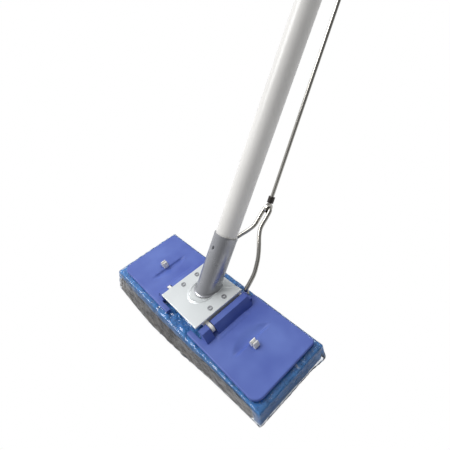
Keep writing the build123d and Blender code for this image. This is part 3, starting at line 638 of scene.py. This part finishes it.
def ear_mesh():
    """Rear ear with the slot that the yoke's tip runs in."""
    bm = bmesh.new()
    drop = math.atan2(5.0, 6.5)
    along = Vector((-math.cos(drop), 0, -math.sin(drop)))
    over = Vector((along.z, 0, -along.x))
    middle = Vector((HINGE.x, 0, HINGE.z)) + along * EAR_ARM
    loops = []
    for radius, y in ((EAR_OUTER, EAR_FRONT), (EAR_OUTER, EAR_REAR),
                      (EAR_SLOT, EAR_REAR), (EAR_SLOT, EAR_FRONT)):
        ring = []
        for k in range(EAR_POINTS):
            a = 2 * math.pi * (k + 0.5) / EAR_POINTS
            shift = math.copysign(EAR_TRAVEL / 2, math.cos(a))
            p = middle + along * (shift + radius * math.cos(a)) + over * radius * math.sin(a)
            ring.append(bm.verts.new((p.x, y, p.z)))
        loops.append(ring)
    grid_faces(bm, loops + [loops[0]], closed=True)
    post = bmesh.new()
    x0, x1 = BOSS_FOOT_X, HINGE.x + 3.6 * MM
    slab(post, [(x0, EAR_FRONT), (x1, EAR_FRONT), (x1, EAR_REAR), (x0, EAR_REAR)],
         wing_top() - 2.9 * MM, HINGE.z - 0.5 * MM)
    round_edges(post, 0.8 * MM, 3)
    merge(bm, post)
    return bm


class MOP_OT_wings(bpy.types.Operator):
    """Moulded blue wings with hinge boss, knuckle, ear and the scoop beside the stud"""
    bl_idname = "mop.wings"
    bl_label = "Wings"

    def execute(self, context):
        for side in (1, -1):
            word, body = side_names(side)
            bm = wing_mesh()
            for part in (boss_mesh(), knuckle_mesh(), ear_mesh()):
                merge(bm, part)
            mirrored(bm, side)
            wing = new_object("wing_shell_" + word, bm, "wing", 32)
            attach(wing, body)
            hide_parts("wing_" + word)
        return {"FINISHED"}


# ------------------------------------------------------------------ refill backing and snap studs
def stud_place():
    """Middle of the right snap stud, at the top of its backing piece."""
    high = BOX["refill_back_right"][1]
    return Vector((STUD_X, STUD_Y, high.z))


def prong(bm, side, stud, base):
    """One springy half of the split stud, with its barb."""
    x = stud.x
    outline = [(0.8, base), (3.7, base), (3.7, 30.4), (4.5, 31.2), (3.9, 33.2), (2.5, 36.1), (1.3, 36.4),
               (0.8, 35.4)]
    points = [(side * u * MM, v * MM) for u, v in outline]
    slab(bm, points, stud.y - 2.9 * MM, stud.y + 2.9 * MM, lambda u, v, w: Vector((x + u, w, v)))


class MOP_OT_snaps(bpy.types.Operator):
    """White backing plates of the refill with their split snap studs"""
    bl_idname = "mop.snaps"
    bl_label = "Backing and snaps"

    def execute(self, context):
        low, high = BOX["refill_back_right"]
        stud = stud_place()
        for side in (1, -1):
            word, body = side_names(side)
            bm = bmesh.new()
            x0, x1, y0, y1 = low.x, high.x, low.y, high.y
            slab(bm, [(x0, y0), (x1, y0), (x1, y1), (x0, y1)], low.z, low.z + 2.0 * MM)
            upright = [e for e in bm.edges if abs(e.verts[0].co.z - e.verts[1].co.z) > MM]
            bmesh.ops.bevel(bm, geom=upright, offset=5 * MM, segments=6, profile=0.5, affect="EDGES")
            halves = bmesh.new()
            prong(halves, 1, stud, 26.5)
            prong(halves, -1, stud, 26.5)
            round_edges(halves, 0.45 * MM, 3, 20)
            merge(bm, halves)
            mirrored(bm, side)
            piece = new_object("backing_" + word, bm, "snap", 40)
            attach(piece, body)
            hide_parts("refill_back_" + word)
        return {"FINISHED"}


# ------------------------------------------------------------------ centre plate and socket
LEAN = math.radians(36.7)
ALONG = Vector((0, math.sin(LEAN), math.cos(LEAN)))
UNDER = Vector((0, math.cos(LEAN), -math.sin(LEAN)))
POLE_FOOT_Y = 8.2 * MM
COLLAR_HALF_X = 14.2 * MM
COLLAR_HALF_Y = 18.5 * MM
COLLAR_MIDDLE_Y = 2.0 * MM
COLLAR_RING = 0.75 * MM
COLLAR_FLOOR = 0.25 * MM
RECESS_START = 13.0 * MM
RECESS_END = 28.6 * MM
RECESS_HALF = 9.5 * MM
RECESS_FLARE = 16.0 * MM
RECESS_SLOPE = 2.2 * MM
SOCKET_RADIUS = 12.4 * MM
SOCKET_BORE = 11.15 * MM
SOCKET_LENGTH = 60.0 * MM
SOCKET_POINTS = 96
DIMPLE_TURN = math.radians(259)
DIMPLE_HEIGHT = 45 * MM
DIMPLE_DEPTH = 0.9 * MM
DIMPLE_RADIUS = 2.8 * MM


def plate_relief(x, y, edge):
    """Height of the pressed plate against its flat level."""
    s = sizes()
    h = 0.0
    r = 0.5 * MM
    if edge < r:
        h -= r - math.sqrt(max(r * r - (r - edge) ** 2, 0.0))
    reach = math.hypot(x / COLLAR_HALF_X, (y - COLLAR_MIDDLE_Y) / COLLAR_HALF_Y)
    off = (reach - 0.96) * 15 * MM
    h += s.collar_height * math.exp(-(off / COLLAR_RING) ** 2)
    h -= COLLAR_FLOOR * (1 - ease((reach - 0.80) / 0.12))
    if y > RECESS_START:
        along = (y - RECESS_START) / (RECESS_END - RECESS_START)
        wide = RECESS_HALF + RECESS_FLARE * along
        inside = ease((wide - abs(x)) / RECESS_SLOPE)
        h -= s.recess_depth * inside * ease((y - RECESS_START) / (5 * MM))
    return h


class MOP_OT_plate(bpy.types.Operator):
    """Pressed zinc-plated centre plate with its oval collar and rear recess"""
    bl_idname = "mop.plate"
    bl_label = "Centre plate"

    def execute(self, context):
        low, high = BOX["centre_plate"]
        bm = bmesh.new()
        rows = []
        fine = [f * MM for f in (0.0, 0.08, 0.2, 0.35, 0.5, 0.9)]
        for dy in spaced(high.y - low.y, fine, 0.6 * MM):
            row = []
            for dx in spaced(high.x - low.x, fine, 0.6 * MM):
                x, y = low.x + dx, low.y + dy
                edge = min(dx, dy, high.x - x, high.y - y)
                row.append(bm.verts.new((x, y, high.z + plate_relief(x, y, edge))))
            rows.append(row)
        grid_faces(bm, rows)
        close_below(bm, low.z)
        plate = new_object("pressed_plate", bm, "zinc", 50)
        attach(plate, "handle")
        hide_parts("centre_plate", "socket_collar")
        return {"FINISHED"}


def on_pole(s, radius, turn):
    """Point at height s along the pole and at an angle round it; the rod's side is at 90 degrees."""
    base = Vector((0, POLE_FOOT_Y, BOX["centre_plate"][1].z))
    return base + ALONG * s + radius * (math.cos(turn) * Vector((1, 0, 0)) + math.sin(turn) * UNDER)


class MOP_OT_socket(bpy.types.Operator):
    """Grey socket sleeve with its flared foot on the plate, rolled lip and rivet dimple"""
    bl_idname = "mop.socket"
    bl_label = "Socket"

    def skin(self, level, turn):
        """Point of the sleeve's outer face; the foot is cut to lie on the level plate."""
        foot = SOCKET_RADIUS * math.sin(turn) * math.tan(LEAN)
        room = SOCKET_LENGTH - foot
        up = foot + min(level * MM, 3.4 * MM) + max(level - 3.4, 0) / 58.5 * (room - 3.4 * MM)
        flare = 1.5 * MM * max(0.0, 1 - level / 3.0) ** 2.2
        away = math.hypot((turn - DIMPLE_TURN) * SOCKET_RADIUS, up - DIMPLE_HEIGHT)
        dimple = DIMPLE_DEPTH * math.exp(-(away / DIMPLE_RADIUS) ** 2)
        rise = ease((up - (SOCKET_LENGTH - 2.2 * MM)) / (1.0 * MM))
        lip = rise * ease((SOCKET_LENGTH - up) / (0.7 * MM) + 0.25)
        return on_pole(up, SOCKET_RADIUS + flare - dimple + 0.25 * MM * lip, turn)

    def execute(self, context):
        bm = bmesh.new()
        turns = [2 * math.pi * k / SOCKET_POINTS for k in range(SOCKET_POINTS)]
        rings = []
        # the foot's levels lie close together, for its flare
        levels = [0.0, 0.25, 0.6, 1.0, 1.6, 2.4, 3.4] + [3.4 + 1.5 * k for k in range(1, 40)]
        for level in levels:
            rings.append([bm.verts.new(self.skin(level, turn)) for turn in turns])
        for up in (SOCKET_LENGTH, SOCKET_LENGTH - 8 * MM):
            rings.append([bm.verts.new(on_pole(up, SOCKET_BORE, turn)) for turn in turns])
        grid_faces(bm, rings, closed=True)
        socket = new_object("socket_sleeve", bm, "socket", 50)
        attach(socket, "handle")
        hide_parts("pole_socket")
        return {"FINISHED"}


# ------------------------------------------------------------------ yoke
# each leg: share of the way down from the rod's eye, share of the half width at the ears
YOKE_SHAPE = ((0.12, 0.143), (0.26, 0.150), (0.36, 0.270), (0.46, 0.461), (0.56, 0.638), (0.65, 0.761),
              (0.79, 0.894), (0.92, 0.928), (1.0, 0.932))
# the bend into the ear, from the tip's place in it, in millimetres
YOKE_TIP = ((-1.2, 3.5, 1.9), (0, 2.3, 0.55), (0, 0.6, 0), (0, -3.5, 0))


class MOP_OT_yoke(bpy.types.Operator):
    """Wishbone wire from the rod's eye to the ears of both wings"""
    bl_idname = "mop.yoke"
    bl_label = "Yoke wire"

    def execute(self, context):
        arm = Vector((HINGE.x - 6.5 * MM, EAR_REAR, HINGE.z - 5.0 * MM))
        run = Vector((0, arm.y + 4.2 * MM, arm.z + 5.0 * MM)) - KNOT
        down = run.normalized()
        right = [KNOT + Vector((1.2 * MM, 0, 0)), KNOT + Vector((2.6 * MM, 0, 0)) + down * 0.5 * MM,
                 KNOT + Vector((3.9 * MM, 0, 0)) + down * 2.6 * MM]
        right += [KNOT + run * t + Vector((w * arm.x, 0, 0)) for t, w in YOKE_SHAPE]
        right += [arm + Vector(p) * MM for p in YOKE_TIP]
        left = [Vector((-p.x, p.y, p.z)) for p in reversed(right)]
        bm = bmesh.new()
        tube(bm, smooth_path(left + right), sizes().wire_radius)
        yoke = new_object("wishbone_wire", bm, "wire", 60)
        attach(yoke, "yoke")
        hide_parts("yoke_wire")
        return {"FINISHED"}


# ------------------------------------------------------------------ refill: sponge, strip and film
# The refill's front leans out at the foot on the left and stands nearly upright on the right.
FRONT_FOOT = ((-120, -53.5), (-80, -55.0), (-42, -55.5), (14, -52.0), (59, -47.5), (109, -44.6), (124, -43.5))
FRONT_TOP = ((-120, -44.6), (0, -43.6), (60, -42.6), (124, -41.8))
FOAM_REAR = 42.0
FOAM_FOOT = 0.6
FILM_REAR = 42.7
FILM_FOOT = 0.1
FILM_ROOM = 0.6
STRIP_ROOM = 5.0
STRIP_THICK = 5.2
STRIP_TALL = 15.0
STRIP_LEFT_END = 119.0
STRIP_SET_BACK = 0.7


def between(table, x):
    """Smooth reading of a table of (x, value), in millimetres."""
    return float(np.interp(x, [a for a, b in table], [b for a, b in table]))


def soft_line(table, x):
    """Reading of a table with its corners softened."""
    return (between(table, x - 9) + 2 * between(table, x) + between(table, x + 9)) / 4


def refill_top(x):
    """Top of the foam in millimetres; it dips a little between the wings."""
    return 24.2 + 0.8 * ease((abs(x) - 34) / 6)


def rounded_loop(corners, radius, steps=5):
    """Closed outline of corner points with rounded corners."""
    out = []
    count = len(corners)
    for i in range(count):
        p, q, r = (Vector(corners[(i + k) % count]) for k in (-1, 0, 1))
        a, b = (p - q), (r - q)
        cut = min(radius, a.length * 0.45, b.length * 0.45)
        a, b = q + a.normalized() * cut, q + b.normalized() * cut
        for k in range(steps + 1):
            t = k / steps
            out.append((1 - t) ** 2 * a + 2 * t * (1 - t) * q + t * t * b)
    return out


def foam_section(x, shrink=0.0):
    """Corners of the foam across the head; past the strip the foam fills its place."""
    past_strip = ease((x - BOX["scrub_strip_right"][1].x / MM + 1.5) / 2.5)
    foot = max(soft_line(FRONT_FOOT, x) + STRIP_ROOM - 4.4 * past_strip, -50.0)
    top = refill_top(x) - shrink
    return [(foot + shrink, FOAM_FOOT + shrink), (FOAM_REAR - shrink, FOAM_FOOT + shrink),
            (FOAM_REAR - shrink, top), (soft_line(FRONT_TOP, x) + shrink, top)]


def film_section(x, shrink=0.0):
    """Corners of the film across the head."""
    top = refill_top(x) + FILM_ROOM - shrink
    return [(soft_line(FRONT_FOOT, x) + shrink, FILM_FOOT + shrink), (FILM_REAR - shrink, FILM_FOOT + shrink),
            (FILM_REAR - shrink, top), (soft_line(FRONT_TOP, x) - FILM_ROOM + shrink, top)]


def stations(end, inset):
    """Places along the right half of the refill, close together at the rounded end."""
    places = [(x, 0.0) for x in np.linspace(0, end - 6, 58)]
    for k in range(1, 9):
        a = math.pi / 2 * k / 8
        places.append((end - inset + inset * math.sin(a), inset * (1 - math.cos(a))))
    return places


def loft(bm, sections, counts, shape, radius):
    """Closed skin through sections of equal point count; the last one is filled in."""
    rings = []
    for x, corners in sections:
        loop = rounded_loop(corners, radius)
        loop = resample(loop, counts)
        rings.append([bm.verts.new(Vector((x, p.x, p.y)) * MM) for p in loop])
    grid_faces(bm, rings, closed=True)
    cap(bm, rings[-1])
    bm.normal_update()
    moves = [(v, shape(v.co, v.normal)) for v in bm.verts]
    for v, move in moves:
        v.co += move


def resample(loop, count):
    """The loop's own line, walked in equal steps from its first point."""
    lengths = [0.0]
    for a, b in zip(loop, loop[1:] + loop[:1]):
        lengths.append(lengths[-1] + (b - a).length)
    ring = loop + [loop[0]]
    out = []
    for k in range(count):
        want = lengths[-1] * k / count
        i = max(j for j, d in enumerate(lengths) if d <= want + 1e-9)
        i = min(i, len(loop) - 1)
        span = lengths[i + 1] - lengths[i]
        out.append(ring[i].lerp(ring[i + 1], (want - lengths[i]) / span if span else 0.0))
    return out


def cap(bm, ring):
    """Fills an end with rings that shrink to its middle."""
    middle = sum((v.co for v in ring), Vector()) / len(ring)
    last = ring
    for k in (0.8, 0.6, 0.4, 0.2):
        inner = [bm.verts.new(middle.lerp(v.co, k)) for v in ring]
        grid_faces(bm, [last, inner], closed=True)
        last = inner
    bm.faces.new(last)


def foam_shape(side):
    """Foam gives a little: low swellings and small dents."""
    def shape(co, normal):
        p = Vector((co.x * side, co.y, co.z))
        low = noise.noise(p / (26 * MM)) * 0.5
        fine = noise.noise(p / (5 * MM)) * 0.18
        grip = min(1.0, abs(co.x) / (6 * MM))
        return normal * (low + fine - 0.45) * MM * grip
    return shape


LOOSE_X = 22 * MM
LOOSE_REACH = 26 * MM
REAR_FACE_Y = 38 * MM
UNDERSIDE_Z = 1.2 * MM
PLEATS_FROM_X = 112 * MM
GATHER_Y = 40 * MM
GATHER_Z = 8 * MM
GATHER_REACH = 9 * MM


def film_shape(side):
    """Film creases: sharp ridges along the long edges, pleats at the ends, a gathered corner."""
    slack = sizes().film_slack

    def shape(co, normal):
        p = Vector((co.x * side, co.y, co.z))
        stretched = Vector((p.x / (13 * MM), p.y / (7 * MM), p.z / (9 * MM)))
        ridge = 1 - abs(noise.noise(stretched + Vector((3, 7, 1))))
        fine = 1 - abs(noise.noise(p / (4.5 * MM)))
        loose = 0.35 + 0.65 * math.exp(-((abs(co.x) - LOOSE_X) / LOOSE_REACH) ** 2)
        move = slack * loose * (0.9 * ridge ** 6 + 0.35 * fine ** 5)
        if co.y > REAR_FACE_Y:
            move *= 0.3
        if co.z < UNDERSIDE_Z:
            move *= 0.1
        end = ease((abs(co.x) - PLEATS_FROM_X) / (9 * MM))
        pleat = 1 - abs(noise.noise(Vector((p.y / (5 * MM), p.z / (16 * MM), side * 4.0))))
        move += end * slack * 0.35 * pleat ** 4
        out = normal * move
        if side > 0:
            away = math.hypot(co.y - GATHER_Y, co.z - GATHER_Z)
            out += Vector((3.2 * MM, 0.8 * MM, 0)) * end * math.exp(-(away / GATHER_REACH) ** 2)
        # the film lies flat under the wings and on the floor
        if co.z > 24 * MM and abs(co.x) > 36 * MM:
            out.z = min(out.z, 0.9 * MM)
        if co.z < 2 * MM:
            out.z = max(out.z, 0.0)
        return out * min(1.0, abs(co.x) / (3 * MM))
    return shape


def half_blend(piece):
    """Bakes the piece's placement into its mesh."""
    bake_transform(piece)


class MOP_OT_sponge(bpy.types.Operator):
    """Blue foam of the refill in two halves"""
    bl_idname = "mop.sponge"
    bl_label = "Sponge"

    def execute(self, context):
        end = BOX["wrap_film_right"][1].x / MM + 0.3
        for side in (1, -1):
            word = side_names(side)[0]
            bm = bmesh.new()
            sections = [(x, foam_section(side * x, inset)) for x, inset in stations(end, 1.2)]
            loft(bm, sections, 120, foam_shape(side), 1.6)
            mirrored(bm, side)
            piece = new_object("foam_" + word, bm, "sponge", 70)
            nodes = ["sponge_" + word] + (["sponge_middle"] if side > 0 else [])
            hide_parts(*nodes)
            half_blend(piece)
        return {"FINISHED"}


class MOP_OT_strip(bpy.types.Operator):
    """Mottled scrubbing strip along the lower front of the sponge"""
    bl_idname = "mop.strip"
    bl_label = "Scrubbing strip"

    def execute(self, context):
        for side in (1, -1):
            word = side_names(side)[0]
            end = BOX["scrub_strip_right"][1].x / MM if side > 0 else STRIP_LEFT_END
            bm = bmesh.new()
            sections = []
            for x, inset in stations(end, 2.0):
                foot = soft_line(FRONT_FOOT, side * x)
                top = soft_line(FRONT_TOP, side * x)
                lean = foot + (top - foot) * STRIP_TALL / refill_top(x)
                foot, lean = foot + STRIP_SET_BACK, lean + STRIP_SET_BACK
                sections.append((x, [(foot + inset, FOAM_FOOT), (foot + STRIP_THICK, FOAM_FOOT),
                                     (lean + STRIP_THICK, STRIP_TALL - inset),
                                     (lean + inset, STRIP_TALL - inset)]))
            loft(bm, sections, 64, fleece_shape(side), 1.4)
            mirrored(bm, side)
            piece = new_object("fleece_" + word, bm, "strip", 70)
            nodes = ["scrub_strip_" + word] + (["scrub_strip_middle"] if side > 0 else [])
            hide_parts(*nodes)
            half_blend(piece)
        return {"FINISHED"}


def fleece_shape(side):
    """Rough, matted face of the strip."""
    def shape(co, normal):
        p = Vector((co.x * side, co.y, co.z))
        rough = noise.noise(p / (3.2 * MM)) * 0.45 + noise.noise(p / (9 * MM)) * 0.4
        return normal * rough * MM * min(1.0, abs(co.x) / (4 * MM)) * 0.8
    return shape


class MOP_OT_film(bpy.types.Operator):
    """Clear wrapping film round the refill, creased and glossy"""
    bl_idname = "mop.film"
    bl_label = "Wrapping film"

    def execute(self, context):
        for side in (1, -1):
            word = side_names(side)[0]
            end = BOX["wrap_film_right"][1].x / MM + 0.6
            bm = bmesh.new()
            sections = [(x, film_section(side * x, inset)) for x, inset in stations(end, 1.6)]
            loft(bm, sections, 220, film_shape(side), 2.0)
            # opening over the backing plate, where the wing holds the refill
            gone = [f for f in bm.faces if over_backing(f.calc_center_median())]
            bmesh.ops.delete(bm, geom=gone, context="FACES")
            mirrored(bm, side)
            piece = new_object("film_" + word, bm, "film", 80)
            nodes = ["wrap_film_" + word] + (["wrap_film_middle"] if side > 0 else [])
            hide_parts(*nodes)
            half_blend(piece)
        return {"FINISHED"}


def over_backing(p):
    """Whether a place lies over the backing plate."""
    low, high = BOX["refill_back_right"]
    return p.z > 24 * MM and low.x - MM < p.x < high.x + MM and low.y - MM < p.y < high.y + MM


# ------------------------------------------------------------------ pieces whose CAD shape is right
CAD_FINISHES = {
    "snap": ("hinge_block",),
    "wire": ("hinge_pins", "pull_rod", "lever_pivot_pin", "rod_pin"),
    "zinc": ("lever_bracket", "lever"),
    "socket": ("socket_rivet", "bracket_rivets", "plate_rivets"),
    "crimp": ("rod_crimp",),
    "coat": ("handle_pole",),
    "grip": ("hand_grip", "hang_cap", "lever_grip"),
}


class MOP_OT_fittings(bpy.types.Operator):
    """Finishes for the pole, rod, lever, pins, rivets, block, grips and cap"""
    bl_idname = "mop.fittings"
    bl_label = "Pole, rod and fittings"

    def execute(self, context):
        for key, names in CAD_FINISHES.items():
            for name in names:
                mesh = NODES[name].data
                mesh.materials.clear()
                mesh.materials.append(finish(key))
        return {"FINISHED"}


# ------------------------------------------------------------------ stage
def lamp(name, place, target, size, watts):
    light = bpy.data.lights.new(name, "AREA")
    light.shape = "RECTANGLE"
    light.size, light.size_y = size
    light.energy = watts
    made = bpy.data.objects.new(name, light)
    bpy.context.scene.collection.objects.link(made)
    made.location = place
    made.rotation_mode = "QUATERNION"
    made.rotation_quaternion = (Vector(target) - Vector(place)).to_track_quat("-Z", "Y")


# name, place, target, size and watts
LAMPS = (("key", (-0.75, -0.45, 1.15), (0, 0, 0.03), (0.6, 0.6), 10.0),
         ("rim", (-0.3, 1.0, 0.9), (0, 0.1, 0.1), (0.5, 0.3), 3.0))


class MOP_OT_stage(bpy.types.Operator):
    """Pale floor, plain studio light and the camera"""
    bl_idname = "mop.stage"
    bl_label = "Stage"

    def execute(self, context):
        scene = context.scene
        scene.view_settings.view_transform = "Standard"
        bm = bmesh.new()
        half = 3.0
        floor_z = -0.4 * MM
        rows = [[bm.verts.new((x, y, floor_z)) for x in (-half, half)] for y in (-half, half)]
        grid_faces(bm, rows)
        mesh = bpy.data.meshes.new("studio_floor")
        bm.to_mesh(mesh)
        bm.free()
        floor = bpy.data.objects.new("studio_floor", mesh)
        scene.collection.objects.link(floor)
        mesh.materials.append(white_sweep())
        world = bpy.data.worlds.new("Studio")
        scene.world = world
        world.use_nodes = True
        t = world.node_tree
        t.nodes.clear()
        out = node(t, "ShaderNodeOutputWorld")
        path = node(t, "ShaderNodeLightPath")
        facing = node(t, "ShaderNodeTexCoord")
        where = node(t, "ShaderNodeSeparateXYZ", None, Vector=facing.outputs["Generated"])
        # the room's light falls off from the left to the right
        fall = node(t, "ShaderNodeMapRange",
                    {"From Min": -1.0, "From Max": 1.0, "To Min": 0.95, "To Max": 0.12},
                    Value=where.outputs["X"])
        soft = node(t, "ShaderNodeBackground", {"Color": (0.97, 0.98, 1.0, 1.0)}, Strength=fall.outputs[0])
        seen = node(t, "ShaderNodeBackground", {"Color": (1, 1, 1, 1), "Strength": 1.0})
        mixed = node(t, "ShaderNodeMixShader", None, i0=path.outputs["Is Camera Ray"], i1=soft.outputs[0],
                     i2=seen.outputs[0])
        t.links.new(mixed.outputs[0], out.inputs["Surface"])
        for settings in LAMPS:
            lamp(*settings)
        camera_at_head()
        return {"FINISHED"}


def white_sweep():
    """White floor: it takes the object's faint shadow and is plain white to the camera."""
    m, t, s = finish_named("Matt white card", Roughness=0.9)[:3]
    s.inputs["Base Color"].default_value = (0.86, 0.86, 0.86, 1.0)
    out = [n for n in t.nodes if n.type == "OUTPUT_MATERIAL"][0]
    path = node(t, "ShaderNodeLightPath")
    glow = node(t, "ShaderNodeEmission", {"Color": (1, 1, 1, 1), "Strength": 1.0})
    mixed = node(t, "ShaderNodeMixShader", None, i0=path.outputs["Is Camera Ray"], i1=s.outputs[0],
                 i2=glow.outputs[0])
    t.links.new(mixed.outputs[0], out.inputs["Surface"])
    return m


CAMERA_PLACE = (0.2138, -0.0998, 0.3215)
CAMERA_LENS = 27.16
CAMERA_HEADING = 55.9
CAMERA_DROP = 40.0
CAMERA_ROLL = 11.8


def camera_at_head():
    """Camera that looks down at the head from its right front."""
    data = bpy.data.cameras.new("camera")
    data.lens = CAMERA_LENS
    data.sensor_width = 36.0
    data.clip_start = 0.01
    made = bpy.data.objects.new("camera", data)
    bpy.context.scene.collection.objects.link(made)
    a, e = math.radians(CAMERA_HEADING), math.radians(CAMERA_DROP)
    back = Vector((math.sin(a) * math.cos(e), -math.cos(a) * math.cos(e), math.sin(e)))
    level = Vector((math.cos(a), math.sin(a), 0))
    over = back.cross(level)
    roll = math.radians(CAMERA_ROLL)
    right = level * math.cos(roll) - over * math.sin(roll)
    up = back.cross(right)
    made.matrix_world = Matrix.Translation(CAMERA_PLACE) @ Matrix((right, up, back)).transposed().to_4x4()
    bpy.context.scene.camera = made


# ------------------------------------------------------------------ panel and running
PIECES = (MOP_OT_wings, MOP_OT_snaps, MOP_OT_plate, MOP_OT_socket, MOP_OT_yoke, MOP_OT_sponge,
          MOP_OT_strip, MOP_OT_film, MOP_OT_fittings, MOP_OT_stage)


class MOP_PT_panel(bpy.types.Panel):
    """Sizes, colours and pieces of the mop"""
    bl_idname = "MOP_PT_panel"
    bl_label = "Sponge Mop"
    bl_space_type = "VIEW_3D"
    bl_region_type = "UI"
    bl_category = "Mop"

    def draw(self, context):
        for group in (context.scene.mop_sizes, context.scene.mop_colours):
            for key in group.__annotations__:
                self.layout.prop(group, key)
        for piece in PIECES:
            self.layout.operator(piece.bl_idname)


CLASSES = (MopSizes, MopColours) + PIECES + (MOP_PT_panel,)


def register():
    for each in CLASSES:
        bpy.utils.register_class(each)
    bpy.types.Scene.mop_sizes = bpy.props.PointerProperty(type=MopSizes)
    bpy.types.Scene.mop_colours = bpy.props.PointerProperty(type=MopColours)


def unregister():
    del bpy.types.Scene.mop_colours
    del bpy.types.Scene.mop_sizes
    for each in reversed(CLASSES):
        bpy.utils.unregister_class(each)


def main():
    """Runs every operator."""
    register()
    for piece in PIECES:
        name = piece.bl_idname.split(".")[1]
        getattr(bpy.ops.mop, name)()


if __name__ == "__main__":
    main()
